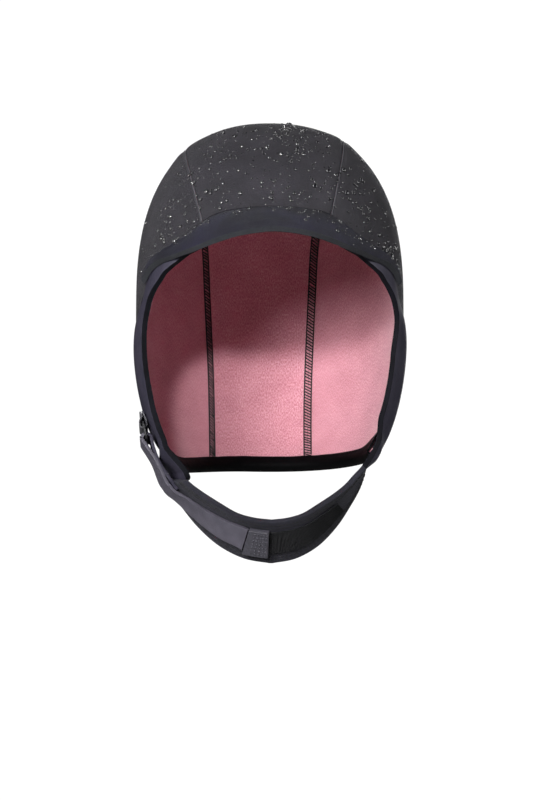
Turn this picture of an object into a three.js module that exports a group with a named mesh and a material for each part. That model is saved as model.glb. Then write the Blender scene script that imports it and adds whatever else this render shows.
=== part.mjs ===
// Surf cap: a neoprene hood with three crown panels, a short soft peak, a dark band round the face, a pink lining,
// a bound nape hem and a wide chin strap whose narrow tongue turns back through a ring on the right cheek flap.
// Millimetres, +Z up, the wearer faces -Y, the wearer's left is +X.
// The origin is the inside top of the lining, where the head carries the cap.
import * as THREE from 'three';

// Head form that the cap is stretched over (outer face of the neoprene)
const CROWN_HALF_WIDTH = 76.3;
const CROWN_FRONT_REACH = 94;
const CROWN_BACK_REACH = 95;
const CROWN_RISE = 100.5; // from the widest level up to the top
const CROWN_FALL = 108.5; // from the widest level down to where the form would close
const PLAN_SQUARENESS = 2.25;
const TOP_SQUARENESS = 2.47;
const BASE_SQUARENESS = 3;
const SEAM_RIDGE = 0.9; // height of the soft ridge along the crown seams
const SEAM_RIDGE_REACH = 9;
const SEAM_RIDGE_TOP = -30; // the ridge has its full height above this level
const SEAM_RIDGE_FOOT = -120; // and has faded out at this one

// Layers
const SHELL_WALL = 2;
const LINING_WALL = 1;
const LAYER_GAP = 0.3;
const CLOTH_WALL = SHELL_WALL + LAYER_GAP + LINING_WALL;
const SEAM_GAP = 0.4; // between two panels that are sewn edge to edge

// Crown seams and hem
const SEAM_SHIFT = -4; // the centre panel lies a little towards the wearer's right
const HEM_LEAN = 6; // how much lower the nape hem meets the right cheek flap than the left one
const NAPE_DROP = 185.5; // from the outer top of the crown's origin down to the lower edge of the nape binding
const NAPE_BINDING_HEIGHT = 7;
const NAPE_BINDING_WALL = 1;
const NAPE_INNER_GAP = 0.65; // between the lining and the binding's inner leg

// Peak
const PEAK_WALL = 3;
const PEAK_REACH = 27; // how far the peak's edge stands in front of the brow
const PEAK_CAMBER = 1.6;
const PEAK_CLEARANCE = 0.45; // between the peak and the band it stands over

// Cheek flaps and chin strap
const FLAP_SHIFT = -3; // right flap and strap hang a little towards the wearer's right
const STRAP_SWAY = -1.5; // how much further the strap's right end and the lug under it hang that way
const REAR_SHIFT = -3.5; // same for the rear edge of the left flap
const FLAP_FLARE = 2.2; // outward lean of the left flap's front edge where it runs into the strap
const FLAP_BULGE = 0.9; // the flaps bow out over the ears
const STRAP_WALL = 3;
const STRAP_HANG = 66.2; // how far the strap's lowest edge hangs below the nape
const STRAP_HALF_SPAN = 57.3; // half the distance between the flap ends
const STRAP_FORWARD = 79; // how far the strap's front edge is ahead of the crown's middle
const LUG_END = 0.17; // where the right flap's lug ends, as a share of the half strap
const STRAP_END_FRONT = 0.15;
const STRAP_END_BACK = 0.08;

// Loop patch, tongue and pull tab
const PATCH_WALL = 1.2;
const PATCH_FROM = -0.155; // shares of the half strap, negative on the wearer's right
const PATCH_TO = 0.6;
const PATCH_FRONT = 0.22; // shares of the strap's width
const PATCH_BACK = 0.72;
const TONGUE_WALL = 1.6;
const TONGUE_WIDTH = 14.6;
const TONGUE_BOW = 1.6; // how far the tongue's inner run bows out over the lug
const TONGUE_SAG = 1; // and how far its upper run sinks towards the flap
const TAB_WALL = 3;
const STRIP_CLEARANCE = 0.1; // more room under tongue and tab, for the strap's bend
const TAB_WIDTH = 17.4;
const TAB_FROM = -0.16;
const TAB_TO = -0.015;
const TAB_ACROSS = 0.44; // where the tongue and its tab end across the strap

// Ring and keeper on the right cheek flap
const RING_BAR = 2.2; // bar width in the ring's plane
const RING_THICKNESS = 1.5;
const RING_CORNER = 2.2;
const RING_SIDE_CLEARANCE = 0.8;
const RING_PITCH = 8.8; // between the middles of the upper and lower bars
const RING_TILT = 8; // degrees that the lower bar stands out from the flap
const KEEPER_WALL = 0.8;
const KEEPER_WIDTH = 13;
const KEEPER_LENGTH = 7.5;
const BUCKLE_PLACE = 0.935; // along the right flap
const BUCKLE_ACROSS = 0.62; // across it, from its rear edge

// Fineness of the facets
const PANEL_COLUMNS = 28;
const JUNCTION_COLUMN = 14; // the column that ends where the face band leaves the hem
const SIDE_ROWS = 9;
const CENTRE_COLUMNS = 8;
const BAND_ROWS = 3;

const WIDEST_LEVEL = CLOTH_WALL - CROWN_RISE;
const STRAP_DEPTH = NAPE_DROP + STRAP_HANG;
const HEM_LEVEL = -NAPE_DROP + NAPE_BINDING_WALL + LAYER_GAP;
const formCentre = new THREE.Vector3(0, 0, WIDEST_LEVEL);

// Half spacing of the crown seams. angle: degrees over the head from the front level, half: share of the half width
const SEAM_SPACING = [
  { angle: 15, half: 0.440 },
  { angle: 38, half: 0.530 },
  { angle: 58, half: 0.577 },
  { angle: 80, half: 0.585 },
  { angle: 105, half: 0.555 },
  { angle: 130, half: 0.500 },
  { angle: 147, half: 0.455 },
  { angle: 165, half: 0.437 },
  { angle: 183, half: 0.420 },
  { angle: 203, half: 0.402 },
  { angle: 230, half: 0.390 },
];

// Edge between crown and face band, from the middle of the brow to the nape hem. along: share of its length,
// azimuth: degrees from the front, level: share of the nape drop
const BAND_SEAM = [
  { along: -0.09, azimuth: -12, level: 0.340 },
  { along: 0, azimuth: 0, level: 0.334 },
  { along: 0.09, azimuth: 12, level: 0.340 },
  { along: 0.15, azimuth: 20, level: 0.352 },
  { along: 0.195, azimuth: 25.5, level: 0.374 },
  { along: 0.243, azimuth: 31, level: 0.401 },
  { along: 0.295, azimuth: 37, level: 0.423 },
  { along: 0.355, azimuth: 44, level: 0.442 },
  { along: 0.41, azimuth: 50.5, level: 0.460 },
  { along: 0.455, azimuth: 55.5, level: 0.490 },
  { along: 0.49, azimuth: 58, level: 0.527 },
  { along: 0.54, azimuth: 64, level: 0.563 },
  { along: 0.61, azimuth: 75, level: 0.594 },
  { along: 0.686, azimuth: 86, level: 0.637 },
  { along: 0.754, azimuth: 92.5, level: 0.701 },
  { along: 0.827, azimuth: 95, level: 0.787 },
  { along: 0.914, azimuth: 96, level: 0.890 },
  { along: 1, azimuth: 96, level: 0.993 },
];

// Rear edge of the cheek flap below the hem. side: share of the strap's half span, back: share of the rear reach,
// level: share of the strap's depth
const FLAP_REAR = [
  { along: 1.06, side: 1.087, back: -0.053, level: 0.751 },
  { along: 1.12, side: 1.042, back: -0.158, level: 0.763 },
];
const FLAP_END = 1.17; // where a flap has reached the end of the strap

// Free edge of the band round the face. side: share of the half width, front: share of the front reach,
// level: share of the nape drop
const FACE_EDGE = [
  { along: -0.09, side: -0.249, front: 0.962, level: 0.412 },
  { along: 0, side: 0, front: 0.984, level: 0.400 },
  { along: 0.09, side: 0.249, front: 0.962, level: 0.412 },
  { along: 0.15, side: 0.415, front: 0.926, level: 0.428 },
  { along: 0.195, side: 0.523, front: 0.887, level: 0.446 },
  { along: 0.243, side: 0.615, front: 0.835, level: 0.459 },
  { along: 0.295, side: 0.700, front: 0.777, level: 0.480 },
  { along: 0.355, side: 0.784, front: 0.718, level: 0.502 },
  { along: 0.41, side: 0.833, front: 0.665, level: 0.528 },
  { along: 0.455, side: 0.884, front: 0.613, level: 0.555 },
  { along: 0.49, side: 0.906, front: 0.580, level: 0.584 },
  { along: 0.54, side: 0.928, front: 0.543, level: 0.621 },
  { along: 0.61, side: 0.939, front: 0.519, level: 0.663 },
  { along: 0.686, side: 0.939, front: 0.509, level: 0.712 },
  { along: 0.754, side: 0.930, front: 0.505, level: 0.760 },
  { along: 0.827, side: 0.910, front: 0.507, level: 0.817 },
  { along: 0.914, side: 0.872, front: 0.516, level: 0.886 },
  { along: 1, side: 0.805, front: 0.532, level: 0.955 },
  { along: 1.06, side: 0.747, front: 0.543, level: 1.000 },
  { along: 1.12, side: 0.700, front: 0.555, level: 1.038 },
];

// Front edge of the peak. along: as on the band seam, side: share of the half width,
// reach: share of the peak's reach, level: share of the nape drop
const PEAK_EDGE = [
  { along: -0.09, side: -0.249, reach: 0.87, level: 0.435 },
  { along: 0, side: 0, reach: 1, level: 0.428 },
  { along: 0.09, side: 0.249, reach: 0.87, level: 0.435 },
  { along: 0.15, side: 0.406, reach: 0.72, level: 0.446 },
  { along: 0.21, side: 0.537, reach: 0.54, level: 0.455 },
  { along: 0.28, side: 0.682, reach: 0.33, level: 0.462 },
  { along: 0.35, side: 0.800, reach: 0.14, level: 0.467 },
  { along: 0.41, side: 0.866, reach: 0.05, level: 0.480 },
  { along: 0.46, side: 0.898, reach: 0.015, level: 0.508 },
];

// Chin strap from the flap end (0) to the middle under the chin (1). side: share of the half span,
// front: share of the forward reach, level: share of the strap's depth
const STRAP_FRONT_EDGE = [
  { along: 0, side: 0.867, front: 0.675, level: 0.789 },
  { along: 0.15, side: 0.773, front: 0.722, level: 0.824 },
  { along: 0.33, side: 0.640, front: 0.804, level: 0.854 },
  { along: 0.52, side: 0.468, front: 0.886, level: 0.882 },
  { along: 0.7, side: 0.312, front: 0.949, level: 0.904 },
  { along: 0.85, side: 0.157, front: 0.987, level: 0.915 },
  { along: 1, side: 0, front: 1, level: 0.9195 },
];
const STRAP_BACK_EDGE = [
  { along: 0, side: 1, front: 0.285, level: 0.773 },
  { along: 0.15, side: 0.934, front: 0.335, level: 0.820 },
  { along: 0.33, side: 0.822, front: 0.437, level: 0.866 },
  { along: 0.52, side: 0.670, front: 0.563, level: 0.916 },
  { along: 0.7, side: 0.470, front: 0.671, level: 0.961 },
  { along: 0.85, side: 0.245, front: 0.728, level: 0.989 },
  { along: 1, side: 0, front: 0.747, level: 1 },
];

// Route of the tongue along the strap. along: share of the half strap on the wearer's right,
// across: share of the strap's width, plies: how many tongue plies lie beneath it
const TONGUE_INNER_RUN = [
  { along: 0.19, across: 0.64 },
  { along: 0.145, across: 0.65 },
  { along: 0.1, across: 0.66 },
];
const TONGUE_OUTER_RUN = [
  { along: 0.1, across: 0.66, plies: 1.35 },
  { along: 0.15, across: 0.65, plies: 1.15 },
  { along: 0.2, across: 0.635, plies: 1.05 },
  { along: 0.27, across: 0.615, plies: 0.35 },
  { along: 0.35, across: 0.59, plies: 0.05 },
  { along: 0.43, across: 0.555, plies: 0 },
  { along: 0.52, across: 0.52, plies: 0 },
  { along: 0.6, across: 0.49, plies: 0 },
  { along: 0.68, across: 0.465, plies: 0 },
  { along: 0.74, across: 0.452, plies: 0 },
  { along: 0.79, across: 0.444, plies: 0.1 },
  { along: 0.832, across: 0.44, plies: 0.6 },
];

/** Smooth value of one column of a table, read at a place between its rows. */
function readTable(rows, key, column, place) {
  const last = rows.length - 1;
  const held = Math.min(Math.max(place, rows[0][key]), rows[last][key]);
  let i = 0;
  while (i < last - 1 && rows[i + 1][key] < held) i += 1;
  const slope = (j) => {
    const before = Math.max(j - 1, 0);
    const after = Math.min(j + 1, last);
    return (rows[after][column] - rows[before][column]) / (rows[after][key] - rows[before][key]);
  };
  const span = rows[i + 1][key] - rows[i][key];
  const t = (held - rows[i][key]) / span;
  const rise = rows[i + 1][column] - rows[i][column];
  const ease = t * t * (3 - 2 * t);
  const lean = span * (t * (1 - t) * (1 - t) * slope(i) - t * t * (1 - t) * slope(i + 1));
  return rows[i][column] + rise * ease + lean;
}

const lerp = (a, b, t) => a + (b - a) * t;
const between = (a, b, t) => a.clone().lerp(b, t);
/** Rises smoothly from 0 to 1 between two places, or falls if the first is the larger. */
function smooth(from, to, x) {
  const t = Math.min(Math.max((x - from) / (to - from), 0), 1);
  return t * t * (3 - 2 * t);
}

const shares = (count) => Array.from({ length: count + 1 }, (_, i) => i / count);

/** How far out a vector from the form's centre reaches, 1 on the form. */
function gauge(v) {
  const fore = v.y < 0 ? CROWN_FRONT_REACH : CROWN_BACK_REACH;
  const tall = v.z > 0 ? CROWN_RISE : CROWN_FALL;
  const power = v.z > 0 ? TOP_SQUARENESS : BASE_SQUARENESS;
  const plan = Math.abs(v.x / CROWN_HALF_WIDTH) ** PLAN_SQUARENESS + Math.abs(v.y / fore) ** PLAN_SQUARENESS;
  return (plan ** (power / PLAN_SQUARENESS) + Math.abs(v.z / tall) ** power) ** (1 / power);
}

/** The point of the form in the direction of a vector from its centre. */
function onForm(v) {
  return v.clone().divideScalar(gauge(v)).add(formCentre);
}

/** The form's outward normal near a point. */
function formNormal(point) {
  const step = 0.05;
  const v = point.clone().sub(formCentre);
  const slope = (axis) => {
    const ahead = v.clone();
    const behind = v.clone();
    ahead[axis] += step;
    behind[axis] -= step;
    return gauge(ahead) - gauge(behind);
  };
  return new THREE.Vector3(slope('x'), slope('y'), slope('z')).normalize();
}

/** The point of the form at an azimuth from the front and at a level below the origin. */
function atLevel(azimuth, level) {
  const turn = THREE.MathUtils.degToRad(azimuth);
  const flat = new THREE.Vector3(Math.sin(turn), -Math.cos(turn), 0);
  const rise = level - WIDEST_LEVEL;
  const tall = rise > 0 ? CROWN_RISE : CROWN_FALL;
  const power = rise > 0 ? TOP_SQUARENESS : BASE_SQUARENESS;
  const ring = Math.max(1 - Math.abs(rise / tall) ** power, 0.01) ** (1 / power);
  return flat.multiplyScalar(ring / gauge(flat)).setZ(level);
}

/** The point of the form at a distance across and an angle over the head from the front. */
function overHead(across, angle) {
  const turn = THREE.MathUtils.degToRad(angle);
  const at = (reach) => new THREE.Vector3(across, -reach * Math.cos(turn), reach * Math.sin(turn));
  let near = 0;
  let far = 2 * (CROWN_RISE + CROWN_FALL);
  for (let i = 0; i < 50; i += 1) {
    const middle = (near + far) / 2;
    if (gauge(at(middle)) < 1) near = middle;
    else far = middle;
  }
  return at(near).add(formCentre);
}

const seamHalf = (angle) => CROWN_HALF_WIDTH * readTable(SEAM_SPACING, 'angle', 'half', angle);

/** A place across the centre strip: t is -1 and 1 on the two seams, extra widens it past them. */
function stripPoint(t, angle, extra) {
  return overHead(SEAM_SHIFT + t * (seamHalf(angle) + extra), angle);
}

/** The angle over the head, within two limits, at which a strip point comes down to a level. */
function angleAtLevel(t, extra, level, high, low) {
  let above = high;
  let below = low;
  for (let i = 0; i < 40; i += 1) {
    const middle = (above + below) / 2;
    if (stripPoint(t, middle, extra).z > level(stripPoint(t, middle, extra))) above = middle;
    else below = middle;
  }
  return (above + below) / 2;
}

const azimuthOf = (point) => THREE.MathUtils.radToDeg(Math.atan2(point.x, -point.y));

/** Level of the crown's brow edge above the peak, read by azimuth. */
function browLevel(point) {
  const rows = BAND_SEAM.slice(1, 10);
  return -NAPE_DROP * readTable(rows, 'azimuth', 'level', Math.abs(azimuthOf(point)));
}

/** Level of the nape hem, which sinks from the middle of the nape towards the right cheek flap. */
function hemLevel(point) {
  const azimuth = azimuthOf(point);
  const lean = azimuth < 0 ? smooth(172, 115, -azimuth) : 0;
  return HEM_LEVEL - HEM_LEAN * lean;
}

const TOP_ANGLE = 90;
const FRONT_ANGLE = 5;
const BACK_ANGLE = 240;
const browAngle = (t, extra) => angleAtLevel(t, extra, browLevel, TOP_ANGLE, FRONT_ANGLE);
const hemAngle = (t, extra) => angleAtLevel(t, extra, hemLevel, TOP_ANGLE, BACK_ANGLE);

/** Place along the band seam of an azimuth on the brow. */
function alongAtAzimuth(azimuth) {
  const rows = BAND_SEAM.slice(1, 10);
  return readTable(rows, 'azimuth', 'along', Math.abs(azimuth));
}

/** How far the sideways hang of the flaps has set in at a place along the band. */
const flapShare = (along) => smooth(0.85, 1.12, along);

/** Sideways hang of a flap's rear edge. */
function rearSway(side, along) {
  if (side > 0) return REAR_SHIFT * flapShare(along);
  return FLAP_SHIFT * flapShare(along) + STRAP_SWAY * smooth(1.05, FLAP_END, along);
}

/** Sideways hang of the strap at a place from the flap's end (0) to the middle (1). */
function strapSway(side, place, across) {
  const even = FLAP_SHIFT * smooth(1.5, 0, place);
  if (side < 0) return even + STRAP_SWAY * smooth(0.45, 0, place);
  const flare = FLAP_FLARE * (1 - across) * smooth(0.14, 0, place);
  return lerp(REAR_SHIFT * across, even, smooth(0, 1, place)) + flare;
}

/** Edge between crown and band on one side of the brow's middle. */
function bandSeam(side, along) {
  const azimuth = side * readTable(BAND_SEAM, 'along', 'azimuth', along);
  const lean = side < 0 ? HEM_LEAN * smooth(0.7, 1, along) : 0;
  const level = -NAPE_DROP * readTable(BAND_SEAM, 'along', 'level', along);
  return atLevel(azimuth, Math.max(level, HEM_LEVEL) - lean);
}

/** One end of the strap's edge, before it is moved sideways with the flap. */
function strapEdgeAt(rows, place) {
  return new THREE.Vector3(
    STRAP_HALF_SPAN * readTable(rows, 'along', 'side', place),
    -STRAP_FORWARD * readTable(rows, 'along', 'front', place),
    -STRAP_DEPTH * readTable(rows, 'along', 'level', place),
  );
}

/** Rear edge of a cheek flap below the hem. */
function flapRear(side, along) {
  const start = bandSeam(1, 1);
  const end = strapEdgeAt(STRAP_BACK_EDGE, 0);
  const first = {
    along: 1,
    side: start.x / STRAP_HALF_SPAN,
    back: start.y / CROWN_BACK_REACH,
    level: -start.z / STRAP_DEPTH,
  };
  const last = {
    along: FLAP_END,
    side: end.x / STRAP_HALF_SPAN,
    back: end.y / CROWN_BACK_REACH,
    level: -end.z / STRAP_DEPTH,
  };
  const own = bandSeam(side, 1);
  const hold = smooth(FLAP_END, 1, along);
  const rows = [first, ...FLAP_REAR, last];
  const x = STRAP_HALF_SPAN * readTable(rows, 'along', 'side', along);
  const y = CROWN_BACK_REACH * readTable(rows, 'along', 'back', along);
  const z = -STRAP_DEPTH * readTable(rows, 'along', 'level', along);
  return new THREE.Vector3(
    side * (x + hold * (side * own.x - start.x)) + rearSway(side, along),
    y + hold * (own.y - start.y),
    z + hold * (own.z - start.z),
  );
}

/** Free edge of the face band. */
function faceEdge(side, along) {
  const end = strapEdgeAt(STRAP_FRONT_EDGE, 0);
  const last = {
    along: FLAP_END,
    side: end.x / CROWN_HALF_WIDTH,
    front: -end.y / CROWN_FRONT_REACH,
    level: -end.z / NAPE_DROP,
  };
  const rows = [...FACE_EDGE, last];
  const x = CROWN_HALF_WIDTH * readTable(rows, 'along', 'side', along);
  const y = -CROWN_FRONT_REACH * readTable(rows, 'along', 'front', along);
  const z = -NAPE_DROP * readTable(rows, 'along', 'level', along);
  const flare = FLAP_FLARE * smooth(0.9, 1.08, along);
  return new THREE.Vector3(side * x + (side < 0 ? rearSway(side, along) : flare), y, z);
}

/** Outer face of the band: across is 0 on the crown seam or rear edge and 1 on the free edge. */
function bandPoint(side, along, across) {
  const upper = along <= 1 ? bandSeam(side, along) : flapRear(side, along);
  const lower = faceEdge(side, along);
  const up = upper.clone().sub(formCentre);
  const down = lower.clone().sub(formCentre);
  const upMiss = upper.clone().sub(onForm(up));
  const downMiss = lower.clone().sub(onForm(down));
  const way = between(up.normalize(), down.normalize(), across);
  const bulge = FLAP_BULGE * 4 * across * (1 - across) * smooth(0.45, 0.68, along) * smooth(0.92, 0.7, along);
  const point = onForm(way).addScaledVector(upMiss, 1 - across).addScaledVector(downMiss, across);
  return point.addScaledVector(formNormal(point), bulge);
}

/** Outer face of the chin strap: along runs from -1 at the wearer's right flap to 1 at the left one. */
function strapPoint(along, across) {
  const place = 1 - Math.abs(along);
  const side = Math.sign(along);
  const point = between(strapEdgeAt(STRAP_FRONT_EDGE, place), strapEdgeAt(STRAP_BACK_EDGE, place), across);
  return point.setX(side * point.x + strapSway(side, place, across));
}

/** Unit normal, across and along directions of a surface given as a function of two places. */
function surfaceFrame(surface, along, across) {
  const step = 0.01;
  const lower = Math.max(across - step, 0);
  const upper = Math.min(across + step, 1);
  const ahead = surface(along + step, across).sub(surface(along - step, across)).normalize();
  const over = surface(along, upper).sub(surface(along, lower)).normalize();
  const normal = new THREE.Vector3().crossVectors(ahead, over).normalize();
  const point = surface(along, across);
  if (normal.dot(point.clone().sub(formCentre)) < 0) normal.negate();
  return { point, normal, ahead, over };
}

/** Closed solid between an outer and an inner grid of points, both with rows of equal length. */
function sheetSolid(outer, inner) {
  const rows = outer.length;
  const columns = outer[0].length;
  const positions = [];
  for (const grid of [outer, inner]) {
    for (const row of grid) {
      for (const p of row) positions.push(p.x, p.y, p.z);
    }
  }
  const at = (layer, row, column) => layer * rows * columns + row * columns + column;
  const index = [];
  const quad = (a, b, c, d) => index.push(a, b, c, a, c, d);
  for (let r = 0; r < rows - 1; r += 1) {
    for (let c = 0; c < columns - 1; c += 1) {
      quad(at(0, r, c), at(0, r, c + 1), at(0, r + 1, c + 1), at(0, r + 1, c));
      quad(at(1, r, c), at(1, r + 1, c), at(1, r + 1, c + 1), at(1, r, c + 1));
    }
  }
  for (let c = 0; c < columns - 1; c += 1) {
    quad(at(0, 0, c), at(1, 0, c), at(1, 0, c + 1), at(0, 0, c + 1));
    quad(at(0, rows - 1, c), at(0, rows - 1, c + 1), at(1, rows - 1, c + 1), at(1, rows - 1, c));
  }
  for (let r = 0; r < rows - 1; r += 1) {
    quad(at(0, r, 0), at(0, r + 1, 0), at(1, r + 1, 0), at(1, r, 0));
    quad(at(0, r, columns - 1), at(1, r, columns - 1), at(1, r + 1, columns - 1), at(0, r + 1, columns - 1));
  }
  return closedGeometry(positions, index);
}

/** Geometry from shared points, turned inside out if its volume comes out negative. */
function closedGeometry(positions, index) {
  let volume = 0;
  const a = new THREE.Vector3();
  const b = new THREE.Vector3();
  const c = new THREE.Vector3();
  for (let i = 0; i < index.length; i += 3) {
    a.fromArray(positions, 3 * index[i]);
    b.fromArray(positions, 3 * index[i + 1]);
    c.fromArray(positions, 3 * index[i + 2]);
    volume += a.dot(b.cross(c));
  }
  const turned = volume < 0 ? index.slice().reverse() : index;
  const geometry = new THREE.BufferGeometry();
  geometry.setAttribute('position', new THREE.Float32BufferAttribute(positions, 3));
  geometry.setIndex(turned);
  geometry.computeVertexNormals();
  return geometry;
}

/** Closed solid of one section profile carried along stations, each a function from profile place to point. */
function sweepSolid(profile, stations) {
  const positions = [];
  for (const place of stations) {
    for (const corner of profile) {
      const p = place(corner);
      positions.push(p.x, p.y, p.z);
    }
  }
  const count = profile.length;
  const index = [];
  for (let s = 0; s < stations.length - 1; s += 1) {
    for (let i = 0; i < count; i += 1) {
      const j = (i + 1) % count;
      const here = s * count;
      const next = here + count;
      index.push(here + i, here + j, next + j, here + i, next + j, next + i);
    }
  }
  const caps = THREE.ShapeUtils.triangulateShape(profile, []);
  const end = (stations.length - 1) * count;
  const clockwise = THREE.ShapeUtils.isClockWise(profile);
  for (const [a, b, c] of caps) {
    if (clockwise) {
      index.push(a, b, c, end + a, end + c, end + b);
    } else {
      index.push(a, c, b, end + a, end + b, end + c);
    }
  }
  return closedGeometry(positions, index);
}

const group = new THREE.Group();

function addPiece(name, geometry, look) {
  const mesh = new THREE.Mesh(geometry, new THREE.MeshStandardMaterial(look));
  mesh.name = name;
  group.add(mesh);
}

const NEOPRENE = { color: 0x45424a, roughness: 0.85, metalness: 0 };
const PEAK_NEOPRENE = { color: 0x34333f, roughness: 0.8, metalness: 0 };
const BAND_NEOPRENE = { color: 0x2b2a33, roughness: 0.6, metalness: 0 };
const LINING = { color: 0xcf7f8e, roughness: 0.95, metalness: 0 };
const HEM_BINDING = { color: 0x15161a, roughness: 0.35, metalness: 0 };
const STRAP_NEOPRENE = { color: 0x2f2e36, roughness: 0.8, metalness: 0 };
const LOOP_FABRIC = { color: 0x24242a, roughness: 0.95, metalness: 0 };
const TONGUE_WEBBING = { color: 0x4c4a54, roughness: 0.6, metalness: 0 };
const TAB_RUBBER = { color: 0x3a3943, roughness: 0.5, metalness: 0 };
const RING_PLASTIC = { color: 0x9a9aa0, roughness: 0.4, metalness: 0 };

/** Sinks a form point along the normal, with the ridge that the seams raise. */
function layerPoint(point, seamDistance, depth) {
  const height = SEAM_RIDGE * smooth(SEAM_RIDGE_FOOT, SEAM_RIDGE_TOP, point.z);
  const ridge = height * Math.exp(-((seamDistance / SEAM_RIDGE_REACH) ** 2));
  return point.clone().addScaledVector(formNormal(point), ridge - depth);
}

/** Rows of the centre panel from the brow to the hem, at a depth under the outer face. */
function centreRows(depth) {
  const inset = SEAM_GAP / 2;
  const acrossList = shares(CENTRE_COLUMNS).map((u) => 2 * u - 1);
  const limits = acrossList.map((t) => ({
    brow: browAngle(t, 0),
    hem: hemAngle(t, 0),
  }));
  return placesToHem().map((place) => acrossList.map((t, i) => {
    const { brow, hem } = limits[i];
    const hemRun = CROWN_BACK_REACH * THREE.MathUtils.degToRad(hem - brow);
    const browPart = SEAM_GAP / hemRun;
    const angle = lerp(brow, hem, Math.max(place(hemRun), browPart));
    const half = seamHalf(angle);
    const held = t * (1 - inset / half);
    return layerPoint(stripPoint(held, angle, 0), half * (1 - Math.abs(t)), depth);
  }));
}

/** Places from the brow (0) to the hem (1), with one row at the upper edge of the nape binding. */
function placesToHem() {
  const list = shares(PANEL_COLUMNS - 1).map((u) => (run) => u * (1 - NAPE_BINDING_HEIGHT / run));
  return [...list, () => 1];
}

const seamLimits = (side) => ({ brow: browAngle(side, 0), hem: hemAngle(side, 0) });

/** Lower edge of a side panel, column by column: first along the band, then along the hem. */
function sideEdge(side, column) {
  const { brow, hem } = seamLimits(side);
  if (column <= JUNCTION_COLUMN) {
    const start = alongAtAzimuth(azimuthOf(stripPoint(side, brow, 0)));
    return bandSeam(side, lerp(start, 1, column / JUNCTION_COLUMN));
  }
  const from = readTable(BAND_SEAM, 'along', 'azimuth', 1);
  const to = Math.abs(azimuthOf(stripPoint(side, hem, 0)));
  const share = (column - JUNCTION_COLUMN) / (PANEL_COLUMNS - JUNCTION_COLUMN);
  const level = hemLevel(atLevel(side * lerp(from, to, share), HEM_LEVEL));
  return atLevel(side * lerp(from, to, share), level);
}

/** Rows of a side panel from the crown seam down to the band and the hem. */
function sideRows(side, depth) {
  const { brow, hem } = seamLimits(side);
  const columns = shares(PANEL_COLUMNS).map((share, i) => {
    const angle = lerp(brow, hem, share);
    const top = stripPoint(side, angle, SEAM_GAP / 2);
    const foot = sideEdge(side, i);
    const length = Math.max(top.distanceTo(foot), 1);
    const onBand = i <= JUNCTION_COLUMN;
    const keep = onBand ? SEAM_GAP / length : 0;
    const last = Math.max(1 - NAPE_BINDING_HEIGHT / length, 0.5);
    return shares(SIDE_ROWS).map((u, row) => {
      const lastRow = row === SIDE_ROWS;
      const share2 = lastRow ? 1 - keep : last * (row / (SIDE_ROWS - 1));
      const way = between(
        top.clone().sub(formCentre).normalize(),
        foot.clone().sub(formCentre).normalize(),
        share2,
      );
      return layerPoint(onForm(way), length * share2, depth);
    });
  });
  return shares(SIDE_ROWS).map((_, row) => columns.map((column) => column[row]));
}

const LINING_DEPTH = SHELL_WALL + LAYER_GAP;
addPiece('crown_centre_panel', sheetSolid(centreRows(0), centreRows(SHELL_WALL)), NEOPRENE);
addPiece('crown_side_left', sheetSolid(sideRows(1, 0), sideRows(1, SHELL_WALL)), NEOPRENE);
addPiece('crown_side_right', sheetSolid(sideRows(-1, 0), sideRows(-1, SHELL_WALL)), NEOPRENE);
addPiece('lining_centre', sheetSolid(centreRows(LINING_DEPTH), centreRows(CLOTH_WALL)), LINING);
addPiece('lining_left', sheetSolid(sideRows(1, LINING_DEPTH), sideRows(1, CLOTH_WALL)), LINING);
addPiece('lining_right', sheetSolid(sideRows(-1, LINING_DEPTH), sideRows(-1, CLOTH_WALL)), LINING);

// Face band: stations from the lug on the wearer's right over the brow to the flap end on the left
const flapPlaces = [1.045, 1.09, 1.13];

function bandStation(side, along) {
  return shares(BAND_ROWS).map((across) => {
    const surface = (a, b) => bandPoint(side, a, b);
    const { point, normal } = surfaceFrame(surface, along, across);
    const seamed = along <= 1 ? 1 - across : 0;
    const blended = normal.lerp(formNormal(point), seamed).normalize();
    return { point, normal: blended };
  });
}

/** The band's last station, on the line where the strap starts. */
function strapLineStation() {
  return shares(BAND_ROWS).map((across) => surfaceFrame(strapPoint, 1, 1 - across));
}

/** A station on the lug, which lies under the end of the strap. */
function lugStation(along, inset) {
  return shares(BAND_ROWS).map((across) => {
    const over = lerp(1 - inset * 0.4, inset, across);
    const { point, normal } = surfaceFrame(strapPoint, along - 1, over);
    return { point: point.addScaledVector(normal, -(STRAP_WALL + LAYER_GAP)), normal };
  });
}

function bandStations() {
  const sidePlaces = (side) => {
    const start = alongAtAzimuth(azimuthOf(stripPoint(side, seamLimits(side).brow, 0)));
    return shares(JUNCTION_COLUMN).map((u) => lerp(start, 1, u));
  };
  const right = [...sidePlaces(-1), ...flapPlaces.slice(0, 2)];
  const left = [...sidePlaces(1), ...flapPlaces];
  const browParts = shares(CENTRE_COLUMNS).slice(1, -1).map((u) => {
    const azimuth = azimuthOf(stripPoint(2 * u - 1, browAngle(2 * u - 1, 0), 0));
    return bandStation(Math.sign(azimuth) || 1, alongAtAzimuth(azimuth));
  });
  return [
    lugStation(LUG_END, 0.2),
    lugStation(LUG_END * 0.75, 0.06),
    lugStation(LUG_END * 0.35, 0),
    ...right.reverse().map((along) => bandStation(-1, along)),
    ...browParts,
    ...left.map((along) => bandStation(1, along)),
    strapLineStation(),
  ];
}

const stationGrid = (stations, depth) => stations.map((station) => (
  station.map(({ point, normal }) => point.clone().addScaledVector(normal, -depth))
));
const bandRows = bandStations();
addPiece('face_band', sheetSolid(stationGrid(bandRows, 0), stationGrid(bandRows, CLOTH_WALL)), BAND_NEOPRENE);

// Peak: a curved sheet whose root follows the brow seam, outside the crown
const PEAK_ROWS = 3;
const PEAK_COLUMNS = 26;
const PEAK_END = PEAK_EDGE[PEAK_EDGE.length - 1].along;

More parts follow.
